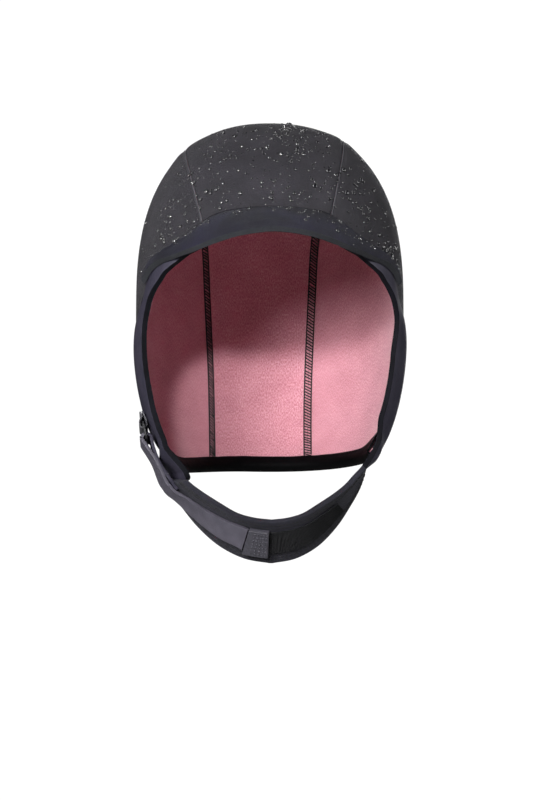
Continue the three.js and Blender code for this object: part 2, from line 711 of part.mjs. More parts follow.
function peakStation(share) {
  const side = share < 0 ? -1 : 1;
  const along = Math.abs(share) * PEAK_END;
  const root = bandSeam(side, along);
  const outward = formNormal(root);
  const x = side * CROWN_HALF_WIDTH * readTable(PEAK_EDGE, 'along', 'side', along);
  const level = -NAPE_DROP * readTable(PEAK_EDGE, 'along', 'level', along);
  const reach = PEAK_REACH * readTable(PEAK_EDGE, 'along', 'reach', along);
  const plan = onForm(new THREE.Vector3(x, -Math.sqrt(Math.max(0, 1 - (x / CROWN_HALF_WIDTH) ** 2))
    * CROWN_FRONT_REACH, level - WIDEST_LEVEL));
  const edge = new THREE.Vector3(x, Math.min(plan.y, root.y) - reach, level);
  const start = root.clone().addScaledVector(outward, LAYER_GAP);
  const clear = PEAK_WALL + 2 * LAYER_GAP;
  const lift = clear - edge.clone().sub(root).dot(outward);
  if (lift > 0) edge.addScaledVector(outward, lift);
  const chord = edge.clone().sub(start);
  const sideways = new THREE.Vector3(-outward.y, outward.x, 0).normalize();
  const up = new THREE.Vector3().crossVectors(chord, sideways).normalize();
  if (up.z < 0) up.negate();
  const top = shares(PEAK_ROWS).map((u) => (
    start.clone().addScaledVector(chord, u).addScaledVector(up, PEAK_CAMBER * 4 * u * (1 - u))
  ));
  const below = top.map((p) => p.clone().addScaledVector(up, -PEAK_WALL));
  const bandWidth = faceEdge(side, along).distanceTo(root);
  below.forEach((p, i) => {
    for (const [point, rise] of [[p, 0], [top[i], i === 0 ? 0 : PEAK_WALL]]) {
      const across = Math.min(point.distanceTo(root) / bandWidth, 1);
      const band = surfaceFrame((a, b) => bandPoint(side, a, b), along, across);
      const missing = PEAK_CLEARANCE + rise - point.clone().sub(band.point).dot(band.normal);
      if (missing > 0) point.addScaledVector(band.normal, missing);
    }
  });
  return { top, below };
}

const peakStations = shares(PEAK_COLUMNS).map((u) => peakStation(2 * u - 1));
addPiece('peak', sheetSolid(peakStations.map((s) => s.top), peakStations.map((s) => s.below)), PEAK_NEOPRENE);

// Nape binding: a strip folded over shell and lining, from one cheek flap round the back to the other
const outerLeg = LAYER_GAP;
const innerLeg = -CLOTH_WALL - NAPE_INNER_GAP;
const NAPE_PROFILE = [
  [outerLeg + NAPE_BINDING_WALL, NAPE_BINDING_HEIGHT],
  [outerLeg, NAPE_BINDING_HEIGHT],
  [outerLeg, -LAYER_GAP],
  [innerLeg, -LAYER_GAP],
  [innerLeg, NAPE_BINDING_HEIGHT],
  [innerLeg - NAPE_BINDING_WALL, NAPE_BINDING_HEIGHT],
  [innerLeg - NAPE_BINDING_WALL, -LAYER_GAP - NAPE_BINDING_WALL],
  [outerLeg + NAPE_BINDING_WALL, -LAYER_GAP - NAPE_BINDING_WALL],
].map(([out, up]) => new THREE.Vector2(out, up));

function napeStations() {
  const hemOf = (side) => {
    const points = [];
    for (let column = JUNCTION_COLUMN; column <= PANEL_COLUMNS; column += 1) points.push(sideEdge(side, column));
    points[0] = between(points[0], points[1], 0.3);
    return points;
  };
  const middle = shares(CENTRE_COLUMNS).slice(1, -1).map((u) => stripPoint(2 * u - 1, hemAngle(2 * u - 1, 0), 0));
  return [...hemOf(-1), ...middle, ...hemOf(1).reverse()];
}

function napePlace(hem) {
  const normal = formNormal(hem);
  const azimuth = THREE.MathUtils.degToRad(azimuthOf(hem));
  const tangent = new THREE.Vector3(Math.cos(azimuth), Math.sin(azimuth), 0);
  const up = new THREE.Vector3().crossVectors(tangent, normal).normalize();
  if (up.z < 0) up.negate();
  return (corner) => {
    const point = hem.clone().addScaledVector(up, corner.y);
    const settled = corner.y > 0 ? onForm(point.sub(formCentre)) : point;
    const out = corner.y > 0 ? formNormal(settled) : normal;
    return settled.addScaledVector(out, corner.x);
  };
}

addPiece('nape_binding', sweepSolid(NAPE_PROFILE, napeStations().map(napePlace)), HEM_BINDING);

// Chin strap
const STRAP_COLUMNS = 26;
const STRAP_ROWS = 3;

/** Grid on the strap between places along and across, raised above its outer face. */
function strapGrid(from, to, columns, acrossList, raise) {
  return shares(columns).map((u) => acrossList.map((across) => {
    const start = typeof from === 'function' ? from(across) : from;
    const along = lerp(start, to, u);
    const { point, normal } = surfaceFrame(strapPoint, along, across);
    return point.addScaledVector(normal, raise);
  }));
}

const strapEnd = (across) => -1 + lerp(STRAP_END_FRONT, STRAP_END_BACK, across);
const strapStart = 1 - SEAM_GAP / STRAP_HALF_SPAN;
const strapAcross = shares(STRAP_ROWS);
addPiece('chin_strap', sheetSolid(
  strapGrid(strapEnd, strapStart, STRAP_COLUMNS, strapAcross, 0),
  strapGrid(strapEnd, strapStart, STRAP_COLUMNS, strapAcross, -STRAP_WALL),
), STRAP_NEOPRENE);

const PATCH_COLUMNS = 14;
const patchAcross = shares(2).map((u) => lerp(PATCH_FRONT, PATCH_BACK, u));
addPiece('loop_patch', sheetSolid(
  strapGrid(PATCH_FROM, PATCH_TO, PATCH_COLUMNS, patchAcross, LAYER_GAP + PATCH_WALL),
  strapGrid(PATCH_FROM, PATCH_TO, PATCH_COLUMNS, patchAcross, LAYER_GAP),
), LOOP_FABRIC);

// Ring on the right flap: its frame sits on the flap's outer face
const flapSurface = (along, across) => bandPoint(-1, along, across);
const anchor = surfaceFrame(flapSurface, BUCKLE_PLACE, BUCKLE_ACROSS);
const firstTurn = surfaceFrame(strapPoint, TONGUE_INNER_RUN[2].along - 1, TONGUE_INNER_RUN[2].across);
const downFlap = firstTurn.point.clone().sub(anchor.point);
downFlap.addScaledVector(anchor.normal, -downFlap.dot(anchor.normal)).normalize();
const acrossFlap = new THREE.Vector3().crossVectors(anchor.normal, downFlap).normalize();
const tilt = THREE.MathUtils.degToRad(RING_TILT);
const ringDown = downFlap.clone().multiplyScalar(Math.cos(tilt)).addScaledVector(anchor.normal, Math.sin(tilt));
const ringOut = anchor.normal.clone().multiplyScalar(Math.cos(tilt)).addScaledVector(downFlap, -Math.sin(tilt));
const keeperBend = Math.hypot(RING_BAR, RING_THICKNESS) / 2 + LAYER_GAP + KEEPER_WALL / 2;
const barOffset = keeperBend + KEEPER_WALL / 2 + 2 * LAYER_GAP;
const upperBar = anchor.point.clone().addScaledVector(anchor.normal, barOffset);
const lowerBar = upperBar.clone().addScaledVector(ringDown, RING_PITCH);

function ringGeometry() {
  const halfWidth = TONGUE_WIDTH / 2 + RING_SIDE_CLEARANCE + RING_BAR;
  const high = RING_BAR / 2;
  const low = -RING_PITCH - RING_BAR / 2;
  const rounded = (shape, inset, radius) => {
    const w = halfWidth - inset;
    const t = high - inset;
    const b = low + inset;
    shape.moveTo(-w + radius, b);
    shape.lineTo(w - radius, b);
    shape.absarc(w - radius, b + radius, radius, -Math.PI / 2, 0, false);
    shape.lineTo(w, t - radius);
    shape.absarc(w - radius, t - radius, radius, 0, Math.PI / 2, false);
    shape.lineTo(-w + radius, t);
    shape.absarc(-w + radius, t - radius, radius, Math.PI / 2, Math.PI, false);
    shape.lineTo(-w, b + radius);
    shape.absarc(-w + radius, b + radius, radius, Math.PI, 1.5 * Math.PI, false);
  };
  const shape = new THREE.Shape();
  rounded(shape, 0, RING_CORNER);
  const hole = new THREE.Path();
  rounded(hole, RING_BAR, RING_CORNER / 3);
  shape.holes.push(hole);
  const solid = new THREE.ExtrudeGeometry(shape, { depth: RING_THICKNESS, bevelEnabled: false, curveSegments: 4 });
  solid.translate(0, 0, -RING_THICKNESS / 2);
  const basis = new THREE.Matrix4().makeBasis(acrossFlap, ringDown.clone().negate(), ringOut);
  if (basis.determinant() < 0) basis.makeBasis(acrossFlap.clone().negate(), ringDown.clone().negate(), ringOut);
  solid.applyMatrix4(basis.setPosition(upperBar));
  return solid;
}
addPiece('strap_ring', ringGeometry(), RING_PLASTIC);

/** Closed strip of even wall between two edges, given as frames of left and right points with a normal. */
function stripSolid(frames, wall) {
  const side = (offset) => frames.map(({ left, right, normal }) => [left, right].map((edge) => (
    edge.clone().addScaledVector(normal, offset)
  )));
  return sheetSolid(side(wall / 2), side(-wall / 2));
}

/** Frames of a strip from its edge points, each normal square to the run and the width. */
function runFrames(rows) {
  const middles = rows.map(({ left, right }) => between(left, right, 0.5));
  return rows.map(({ left, right }, i) => {
    const before = middles[Math.max(i - 1, 0)];
    const after = middles[Math.min(i + 1, rows.length - 1)];
    const ahead = after.clone().sub(before);
    const over = right.clone().sub(left);
    return { left, right, normal: new THREE.Vector3().crossVectors(ahead, over).normalize() };
  });
}

const edgesAbout = (point, over, width) => ({
  left: point.clone().addScaledVector(over, -width / 2),
  right: point.clone().addScaledVector(over, width / 2),
});

// Keeper: a hairpin of webbing from the flap round the upper bar and back
const KEEPER_TURN = 6;
function keeperPoints() {
  const plyLow = LAYER_GAP + KEEPER_WALL / 2;
  const plyHigh = plyLow + KEEPER_WALL + LAYER_GAP;
  const onFlap = (along, offset) => anchor.point.clone()
    .addScaledVector(downFlap, along)
    .addScaledVector(anchor.normal, offset + (along * along) / CROWN_FRONT_REACH / 2);
  const bend = shares(KEEPER_TURN).map((u) => {
    const turn = lerp(-0.62, 0.5, u) * Math.PI;
    return upperBar.clone()
      .addScaledVector(downFlap, keeperBend * Math.cos(turn))
      .addScaledVector(anchor.normal, keeperBend * Math.sin(turn));
  });
  const above = -keeperBend;
  return [
    onFlap(-KEEPER_LENGTH, plyLow),
    onFlap(above, plyLow),
    ...bend,
    onFlap(above * 1.2, barOffset + keeperBend * 0.55),
    onFlap(-KEEPER_LENGTH * 0.62, plyHigh + LAYER_GAP),
    onFlap(-KEEPER_LENGTH, plyHigh + LAYER_GAP),
  ].map((point) => edgesAbout(point, acrossFlap, KEEPER_WIDTH));
}
addPiece('ring_keeper', stripSolid(runFrames(keeperPoints()), KEEPER_WALL), TONGUE_WEBBING);

// Tongue: from the strap's end up to the ring, round its lower bar and back down over the strap
const foldRadius = Math.hypot(RING_BAR, RING_THICKNESS) / 2 + 1.5 * LAYER_GAP + TONGUE_WALL / 2;
const FOLD_STEPS = 8;

/** Edge points of a strip of some width that lies along the strap. */
function onStrap(along, across, raise, width) {
  const strapWidth = strapPoint(along, 0).distanceTo(strapPoint(along, 1));
  const reach = width / strapWidth / 2;
  const edge = (place) => {
    const { point, normal } = surfaceFrame(strapPoint, along, place);
    return point.addScaledVector(normal, raise);
  };
  return { left: edge(across - reach), right: edge(across + reach) };
}

function tonguePoints() {
  const ply = LAYER_GAP + STRIP_CLEARANCE + TONGUE_WALL / 2;
  const plyStep = TONGUE_WALL + LAYER_GAP;
  const inner = TONGUE_INNER_RUN.map((row) => onStrap(row.along - 1, row.across, ply, TONGUE_WIDTH));
  const foldOver = acrossFlap.clone();
  if (foldOver.dot(inner[2].right.clone().sub(inner[2].left)) < 0) foldOver.negate();
  const fold = shares(FOLD_STEPS).map((u) => {
    const turn = u * Math.PI;
    const point = lowerBar.clone()
      .addScaledVector(ringOut, -foldRadius * Math.cos(turn))
      .addScaledVector(ringDown, -foldRadius * Math.sin(turn));
    return edgesAbout(point, foldOver, TONGUE_WIDTH);
  });
  const outer = TONGUE_OUTER_RUN.map((row) => (
    onStrap(row.along - 1, row.across, ply + row.plies * plyStep, TONGUE_WIDTH)
  ));
  const blend = (a, b, t) => ({ left: between(a.left, b.left, t), right: between(a.right, b.right, t) });
  const rising = [0.25, 0.5, 0.75].map((t) => {
    const { left, right } = blend(inner[2], fold[0], t);
    const push = TONGUE_BOW * 4 * t * (1 - t);
    return { left: left.addScaledVector(anchor.normal, push), right: right.addScaledVector(anchor.normal, push) };
  });
  const falling = blend(fold[FOLD_STEPS], outer[0], 0.5);
  falling.left.addScaledVector(anchor.normal, -TONGUE_SAG);
  falling.right.addScaledVector(anchor.normal, -TONGUE_SAG);
  return [...inner, ...rising, ...fold, falling, ...outer];
}
addPiece('strap_tongue', stripSolid(runFrames(tonguePoints()), TONGUE_WALL), TONGUE_WEBBING);

// Pull tab at the tongue's end, pressed on the loop patch
const TAB_COLUMNS = 5;
const tabRaise = 2 * LAYER_GAP + STRIP_CLEARANCE + PATCH_WALL + TAB_WALL / 2;
const tabRows = shares(TAB_COLUMNS).map((u) => onStrap(lerp(TAB_FROM, TAB_TO, u), TAB_ACROSS, tabRaise, TAB_WIDTH));
addPiece('pull_tab', stripSolid(runFrames(tabRows), TAB_WALL), TAB_RUBBER);

export default group;
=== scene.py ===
"""Surf cap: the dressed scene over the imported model.

Neoprene crown in three panels, soft peak, smooth band round the face, heathered lining with flat seams, bound
nape and a chin strap whose tongue turns back through a ring. Sizes are millimetres until the last step, which
scales them to metres.
"""
import math
import random

import bmesh
import bpy
from bpy.props import FloatProperty, FloatVectorProperty, IntProperty, PointerProperty
from mathutils import Matrix, Vector, noise


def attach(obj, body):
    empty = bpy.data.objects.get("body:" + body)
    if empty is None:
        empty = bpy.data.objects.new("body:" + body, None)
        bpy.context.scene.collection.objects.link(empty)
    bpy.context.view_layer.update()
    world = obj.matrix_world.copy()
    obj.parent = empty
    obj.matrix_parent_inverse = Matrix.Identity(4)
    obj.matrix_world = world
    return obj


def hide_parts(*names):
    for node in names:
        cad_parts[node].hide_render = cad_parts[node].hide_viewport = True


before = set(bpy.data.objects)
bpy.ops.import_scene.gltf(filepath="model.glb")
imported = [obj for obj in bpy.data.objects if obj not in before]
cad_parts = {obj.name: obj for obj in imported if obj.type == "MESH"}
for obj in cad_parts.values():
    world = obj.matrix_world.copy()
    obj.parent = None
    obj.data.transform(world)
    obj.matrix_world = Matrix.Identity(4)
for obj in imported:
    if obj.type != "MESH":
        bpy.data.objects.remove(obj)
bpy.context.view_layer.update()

MM = 0.001

bl_info = {
    "name": "Surf cap",
    "version": (1, 0, 0),
    "blender": (4, 5, 0),
    "location": "View3D > Sidebar > Surf cap",
    "description": "Neoprene surf cap with peak, lining and chin strap",
    "category": "Object",
}

# Rounded form that the panels are laid on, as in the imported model
HALF_WIDTH, FRONT_REACH, BACK_REACH = 76.3, 94, 95
RISE, FALL = 100.5, 108.5
PLAN_SQUARENESS, TOP_SQUARENESS, BASE_SQUARENESS = 2.25, 2.47, 3
SEAM_RIDGE, SEAM_RIDGE_REACH, SEAM_RIDGE_TOP, SEAM_RIDGE_FOOT = 0.9, 9, -30, -120
SHELL_WALL, LINING_WALL, LAYER_GAP = 2, 1, 0.3
CLOTH_WALL = SHELL_WALL + LAYER_GAP + LINING_WALL
SEAM_GAP, SEAM_SHIFT, HEM_LEAN = 0.4, -4, 6
SEAM_START, SEAM_STOP = 0.3, 3.8  # degrees over the head between a seam's threads and its ends
NAPE_DROP, BINDING_HEIGHT, BINDING_WALL, BINDING_GAP = 185.5, 7, 1, 0.65
PEAK_WALL, PEAK_REACH, PEAK_CAMBER, PEAK_CLEARANCE = 3, 27, 1.6, 0.45
FLAP_SHIFT, STRAP_SWAY, REAR_SHIFT, FLAP_FLARE = -3, -1.5, -3.5, 2.2
FLAP_BULGE, FLAP_END = 0.9, 1.17
STRAP_WALL, STRAP_DEPTH, STRAP_HALF_SPAN, STRAP_FORWARD = 3, NAPE_DROP + 66.2, 57.3, 79
LUG_END, STRAP_END_FRONT, STRAP_END_BACK = 0.17, 0.15, 0.08
PATCH_WALL, PATCH_FROM, PATCH_TO, PATCH_FRONT, PATCH_BACK = 1.2, -0.155, 0.6, 0.22, 0.72
TONGUE_WALL, TONGUE_WIDTH, TONGUE_BOW, TONGUE_SAG = 1.6, 14.6, 1.6, 1
TAB_WALL, TAB_WIDTH, TAB_FROM, TAB_TO, TAB_ACROSS = 3, 17.4, -0.16, -0.015, 0.44
STRIP_CLEARANCE = 0.1
RING_BAR, RING_THICKNESS, RING_CORNER, RING_SIDE_CLEARANCE, RING_PITCH, RING_TILT = 2.2, 1.5, 2.2, 0.8, 8.8, 8
KEEPER_WALL, KEEPER_WIDTH, KEEPER_LENGTH = 0.8, 13, 7.5
BUCKLE_PLACE, BUCKLE_ACROSS = 0.935, 0.62
EDGE_CURL = 3.2  # how far the left flap's free edge rolls in towards the cheek
FIRST_PLACE = 0.02  # where the band's lines begin beside the middle of the brow
# how much thinner the dressed cloth is than its solid, so that the layers stay apart
PANEL_EASE, BAND_EASE = 0.2, 0.35
SEAM_TUCK, SEAM_TUCK_REACH = 0.7, 1.5  # how deep the crown dips into its seams, and how far from them
SEAM_LINE_RADIUS, SEAM_LINE_DEPTH, SEAM_LINE_STEP = 0.36, 0.32, 1.5
SEAM_LINE_SINK, SEAM_LINE_SINK_LENGTH = 0.2, 9  # the glue line comes and goes in the cloth
FLATLOCK_RADIUS, FLATLOCK_RISE, FLATLOCK_CREST = 0.42, 0.3, 0.5
# fleece inside the band: wall, reach across it on the right and left, rows short of its ends, gap to the band
FLEECE_WALL, FLEECE_REACH, FLEECE_ROWS, FLEECE_GAP = 0.4, (0.965, 0.92), slice(8, -7), 0.02
BINDING_START, BINDING_END, BINDING_SWELL, HEM_RIPPLE = 94.6, 263.2, 0.25, 0.35
TURNED_UP_FROM, TURNED_UP_TO = 124, 102  # where the binding's inner ply climbs towards the left flap
PEAK_LINES, PEAK_STEPS = 72, 5
RIB_COUNT, RIB_LINES, RIB_HEIGHT = 74, 4, 0.3
STRAP_HALF_LENGTH = 80
STITCH_ROWS, STITCH_FROM, STITCH_TO, STITCH_RADIUS = (0.09, 0.16, 0.79, 0.85, 0.91), -0.86, 0.95, 0.22
STITCH_SHAPE = ((0, 0.02), (0.35, 0.22), (0.7, 0.02))  # share of the pitch, rise
PAINTED_SHADE_RUN = 0.27  # share of the tongue that lies behind, out of the light: painted shade, drawn in the band's near-black rubber instead of the grey webbing
GRIP_ROWS, GRIP_COLUMNS, GRIP_RADIUS, GRIP_FLATNESS = 5, 7, 0.62, 0.55
GRIP_FROM, GRIP_TO, GRIP_SHARE = 0.3, 0.9, 3 / 3.9
WIDEST_LEVEL = CLOTH_WALL - RISE
HEM_LEVEL = -NAPE_DROP + BINDING_WALL + LAYER_GAP
CENTRE = Vector((0, 0, WIDEST_LEVEL))

# angle over the head, half spacing of the crown seams
SEAM_SPACING = (
    (15, 0.440), (38, 0.530), (58, 0.577), (80, 0.585), (105, 0.555), (130, 0.500),
    (147, 0.455), (165, 0.437), (183, 0.420), (203, 0.402), (230, 0.390),
)
# place along the crown's edge, azimuth, level
BAND_SEAM = (
    (-0.09, -12, 0.340), (0, 0, 0.334), (0.09, 12, 0.340), (0.15, 20, 0.352), (0.195, 25.5, 0.374),
    (0.243, 31, 0.401), (0.295, 37, 0.423), (0.355, 44, 0.442), (0.41, 50.5, 0.460), (0.455, 55.5, 0.490),
    (0.49, 58, 0.527), (0.54, 64, 0.563), (0.61, 75, 0.594), (0.686, 86, 0.637), (0.754, 92.5, 0.701),
    (0.827, 95, 0.787), (0.914, 96, 0.890), (1, 96, 0.993),
)
# place along, side, back, level
FLAP_REAR = ((1.06, 1.087, -0.053, 0.751), (1.12, 1.042, -0.158, 0.763))
# place along, side, front, level
FACE_EDGE = (
    (-0.09, -0.249, 0.962, 0.412), (0, 0, 0.984, 0.400), (0.09, 0.249, 0.962, 0.412),
    (0.15, 0.415, 0.926, 0.428), (0.195, 0.523, 0.887, 0.446), (0.243, 0.615, 0.835, 0.459),
    (0.295, 0.700, 0.777, 0.480), (0.355, 0.784, 0.718, 0.502), (0.41, 0.833, 0.665, 0.528),
    (0.455, 0.884, 0.613, 0.555), (0.49, 0.906, 0.580, 0.584), (0.54, 0.928, 0.543, 0.621),
    (0.61, 0.939, 0.519, 0.663), (0.686, 0.939, 0.509, 0.712), (0.754, 0.930, 0.505, 0.760),
    (0.827, 0.910, 0.507, 0.817), (0.914, 0.872, 0.516, 0.886), (1, 0.805, 0.532, 0.955),
    (1.06, 0.747, 0.543, 1.000), (1.12, 0.700, 0.555, 1.038),
)
# place along, side, reach, level
PEAK_EDGE = (
    (-0.09, -0.249, 0.87, 0.435), (0, 0, 1, 0.428), (0.09, 0.249, 0.87, 0.435), (0.15, 0.406, 0.72, 0.446),
    (0.21, 0.537, 0.54, 0.455), (0.28, 0.682, 0.33, 0.462), (0.35, 0.800, 0.14, 0.467),
    (0.41, 0.866, 0.05, 0.480), (0.46, 0.898, 0.015, 0.508),
)
# place from the flap end, side, front, level
STRAP_FRONT_EDGE = (
    (0, 0.867, 0.675, 0.789), (0.15, 0.773, 0.722, 0.824), (0.33, 0.640, 0.804, 0.854),
    (0.52, 0.468, 0.886, 0.882), (0.7, 0.312, 0.949, 0.904), (0.85, 0.157, 0.987, 0.915), (1, 0, 1, 0.9195),
)
STRAP_BACK_EDGE = (
    (0, 1, 0.285, 0.773), (0.15, 0.934, 0.335, 0.820), (0.33, 0.822, 0.437, 0.866),
    (0.52, 0.670, 0.563, 0.916), (0.7, 0.470, 0.671, 0.961), (0.85, 0.245, 0.728, 0.989), (1, 0, 0.747, 1),
)
# place along, place across, plies below
TONGUE_INNER_RUN = ((0.19, 0.64, 0), (0.145, 0.65, 0), (0.1, 0.66, 0))
TONGUE_OUTER_RUN = (
    (0.1, 0.66, 1.35), (0.15, 0.65, 1.15), (0.2, 0.635, 1.05), (0.27, 0.615, 0.35), (0.35, 0.59, 0.05),
    (0.43, 0.555, 0), (0.52, 0.52, 0), (0.6, 0.49, 0), (0.68, 0.465, 0), (0.74, 0.452, 0), (0.79, 0.444, 0.1),
    (0.832, 0.44, 0.6),
)
# place on the right flap as a share of the lug, how much narrower the band is there
LUG_ROWS = ((1, 0.25), (0.85, 0.1), (0.6, 0.02), (0.3, 0))
# name, side, width as a share of the usual one
FLATLOCKS = (("flatlock_left", 1, 1), ("flatlock_right", -1, 0.75))
# sRGB colours that the settings start from
CROWN_COLOUR, PEAK_COLOUR, STRAP_COLOUR = "2b292e", "12111f", "24232c"
LINING_COLOUR, BAND_COLOUR = "ca8996", "35323f"


def read_table(rows, column, place):
    """Smooth value of one column of a table, read between its rows."""
    last = len(rows) - 1
    held = min(max(place, rows[0][0]), rows[last][0])
    i = 0
    while i < last - 1 and rows[i + 1][0] < held:
        i += 1

    def slope(j):
        before, after = max(j - 1, 0), min(j + 1, last)
        return (rows[after][column] - rows[before][column]) / (rows[after][0] - rows[before][0])

    span = rows[i + 1][0] - rows[i][0]
    t = (held - rows[i][0]) / span
    rise = rows[i + 1][column] - rows[i][column]
    lean = span * (t * (1 - t) ** 2 * slope(i) - t * t * (1 - t) * slope(i + 1))
    return rows[i][column] + rise * t * t * (3 - 2 * t) + lean


def smooth(start, end, x):
    """Rises smoothly from 0 at the start to 1 at the end."""
    t = min(max((x - start) / (end - start), 0), 1)
    return t * t * (3 - 2 * t)


def mix(a, b, t):
    return a + (b - a) * t


def shares(count):
    return [i / count for i in range(count + 1)]


def gauge(v):
    """How far out a vector from the form's centre reaches, 1 on the form."""
    fore = FRONT_REACH if v.y < 0 else BACK_REACH
    tall = RISE if v.z > 0 else FALL
    power = TOP_SQUARENESS if v.z > 0 else BASE_SQUARENESS
    plan = abs(v.x / HALF_WIDTH) ** PLAN_SQUARENESS + abs(v.y / fore) ** PLAN_SQUARENESS
    return (plan ** (power / PLAN_SQUARENESS) + abs(v.z / tall) ** power) ** (1 / power)


def on_form(v):
    return v / gauge(v) + CENTRE


def form_normal(point):
    v = point - CENTRE
    step = 0.05
    axes = (Vector((step, 0, 0)), Vector((0, step, 0)), Vector((0, 0, step)))
    return Vector([gauge(v + a) - gauge(v - a) for a in axes]).normalized()


def at_level(azimuth, level):
    """The form's point at an azimuth from the front and a level."""
    turn = math.radians(azimuth)
    flat = Vector((math.sin(turn), -math.cos(turn), 0))
    rise = level - WIDEST_LEVEL
    tall = RISE if rise > 0 else FALL
    power = TOP_SQUARENESS if rise > 0 else BASE_SQUARENESS
    ring = max(1 - abs(rise / tall) ** power, 0.01) ** (1 / power)
    point = flat * (ring / gauge(flat))
    point.z = level
    return point


def over_head(across, angle):
    """The form's point at a distance across and an angle over the head."""
    turn = math.radians(angle)
    fore, up = -math.cos(turn), math.sin(turn)
    near, far = 0.0, 2.0 * (RISE + FALL)
    for _ in range(32):
        middle = (near + far) / 2
        if gauge(Vector((across, middle * fore, middle * up))) < 1:
            near = middle
        else:
            far = middle
    return Vector((across, near * fore, near * up)) + CENTRE


def seam_half(angle):
    return HALF_WIDTH * read_table(SEAM_SPACING, 1, angle)


def strip_point(t, angle, extra=0):
    """A place across the centre strip, whose seams lie at t = -1 and 1."""
    return over_head(SEAM_SHIFT + t * (seam_half(angle) + extra), angle)


def azimuth_of(point):
    return math.degrees(math.atan2(point.x, -point.y))


BROW_BY_AZIMUTH = [(azimuth, along, level) for along, azimuth, level in BAND_SEAM[1:10]]


def brow_level(point):
    return -NAPE_DROP * read_table(BROW_BY_AZIMUTH, 2, abs(azimuth_of(point)))


def hem_level(point):
    azimuth = azimuth_of(point)
    lean = smooth(172, 115, -azimuth) if azimuth < 0 else 0
    return HEM_LEVEL - HEM_LEAN * lean


def angle_at_level(t, level, high, low):
    """The angle over the head at which a line of the centre strip comes down to a level."""
    for _ in range(26):
        middle = (high + low) / 2
        point = strip_point(t, middle)
        if point.z > level(point):
            high = middle
        else:
            low = middle
    return (high + low) / 2


def brow_angle(t):
    return angle_at_level(t, brow_level, 90, 5)


def hem_angle(t):
    return angle_at_level(t, hem_level, 90, 240)


def along_at_azimuth(azimuth):
    return read_table(BROW_BY_AZIMUTH, 1, abs(azimuth))


def band_seam(side, along):
    """Edge between the crown and the face band."""
    azimuth = side * read_table(BAND_SEAM, 1, along)
    lean = HEM_LEAN * smooth(0.7, 1, along) if side < 0 else 0
    level = -NAPE_DROP * read_table(BAND_SEAM, 2, along)
    return at_level(azimuth, max(level, HEM_LEVEL) - lean)


def strap_edge_at(rows, place):
    return Vector((
        STRAP_HALF_SPAN * read_table(rows, 1, place),
        -STRAP_FORWARD * read_table(rows, 2, place),
        -STRAP_DEPTH * read_table(rows, 3, place),
    ))


def flap_share(along):
    return smooth(0.85, 1.12, along)


def rear_sway(side, along):
    """Sideways hang of a flap's rear edge."""
    if side > 0:
        return REAR_SHIFT * flap_share(along)
    return FLAP_SHIFT * flap_share(along) + STRAP_SWAY * smooth(1.05, FLAP_END, along)


def strap_sway(side, place, across):
    """Sideways hang of the strap at a place from the flap's end (0) to the middle (1)."""
    even = FLAP_SHIFT * smooth(1.5, 0, place)
    if side < 0:
        return even + STRAP_SWAY * smooth(0.45, 0, place)
    flare = FLAP_FLARE * (1 - across) * smooth(0.14, 0, place)
    return mix(REAR_SHIFT * across, even, smooth(0, 1, place)) + flare


FLAP_START = band_seam(1, 1)
REAR_END = strap_edge_at(STRAP_BACK_EDGE, 0)
REAR_ROWS = (
    (1, FLAP_START.x / STRAP_HALF_SPAN, FLAP_START.y / BACK_REACH, -FLAP_START.z / STRAP_DEPTH),
    *FLAP_REAR,
    (FLAP_END, REAR_END.x / STRAP_HALF_SPAN, REAR_END.y / BACK_REACH, -REAR_END.z / STRAP_DEPTH),
)
FACE_END = strap_edge_at(STRAP_FRONT_EDGE, 0)
FACE_ROWS = (
    *FACE_EDGE,
    (FLAP_END, FACE_END.x / HALF_WIDTH, -FACE_END.y / FRONT_REACH, -FACE_END.z / NAPE_DROP),
)


def flap_rear(side, along):
    """Rear edge of a cheek flap below the hem."""
    own = band_seam(side, 1)
    hold = smooth(FLAP_END, 1, along)
    x = STRAP_HALF_SPAN * read_table(REAR_ROWS, 1, along) + hold * (side * own.x - FLAP_START.x)
    y = BACK_REACH * read_table(REAR_ROWS, 2, along) + hold * (own.y - FLAP_START.y)
    z = -STRAP_DEPTH * read_table(REAR_ROWS, 3, along) + hold * (own.z - FLAP_START.z)
    return Vector((side * x + rear_sway(side, along), y, z))


def face_edge(side, along):
    """Free edge of the band round the face."""
    x = HALF_WIDTH * read_table(FACE_ROWS, 1, along)
    y = -FRONT_REACH * read_table(FACE_ROWS, 2, along)
    z = -NAPE_DROP * read_table(FACE_ROWS, 3, along)
    flare = FLAP_FLARE * smooth(0.9, 1.08, along)
    return Vector((side * x + (rear_sway(side, along) if side < 0 else flare), y, z))


def band_point(side, along, across):
    """Outer face of the band, from the crown's seam (0) to the free edge (1)."""
    upper = band_seam(side, along) if along <= 1 else flap_rear(side, along)
    lower = face_edge(side, along)
    up, down = upper - CENTRE, lower - CENTRE
    up_miss, down_miss = upper - on_form(up), lower - on_form(down)
    way = up.normalized().lerp(down.normalized(), across)
    point = on_form(way) + up_miss * (1 - across) + down_miss * across
    bulge = FLAP_BULGE * 4 * across * (1 - across) * smooth(0.45, 0.68, along) * smooth(0.92, 0.7, along)
    return point + form_normal(point) * bulge


def strap_point(along, across):
    """Outer face of the strap, from the right flap (-1) to the left one (1)."""
    place = 1 - abs(along)
    side = 1 if along > 0 else -1 if along < 0 else 0
    point = strap_edge_at(STRAP_FRONT_EDGE, place).lerp(strap_edge_at(STRAP_BACK_EDGE, place), across)
    point.x = side * point.x + strap_sway(side, place, across)
    return point


def surface_frame(surface, along, across):
    """Point and outward normal of a surface given as a function of two places."""
    step = 0.01
    ahead = surface(along + step, across) - surface(along - step, across)
    over = surface(along, min(across + step, 1)) - surface(along, max(across - step, 0))
    normal = ahead.cross(over).normalized()
    point = surface(along, across)
    if normal.dot(point - CENTRE) < 0:
        normal.negate()
    return point, normal


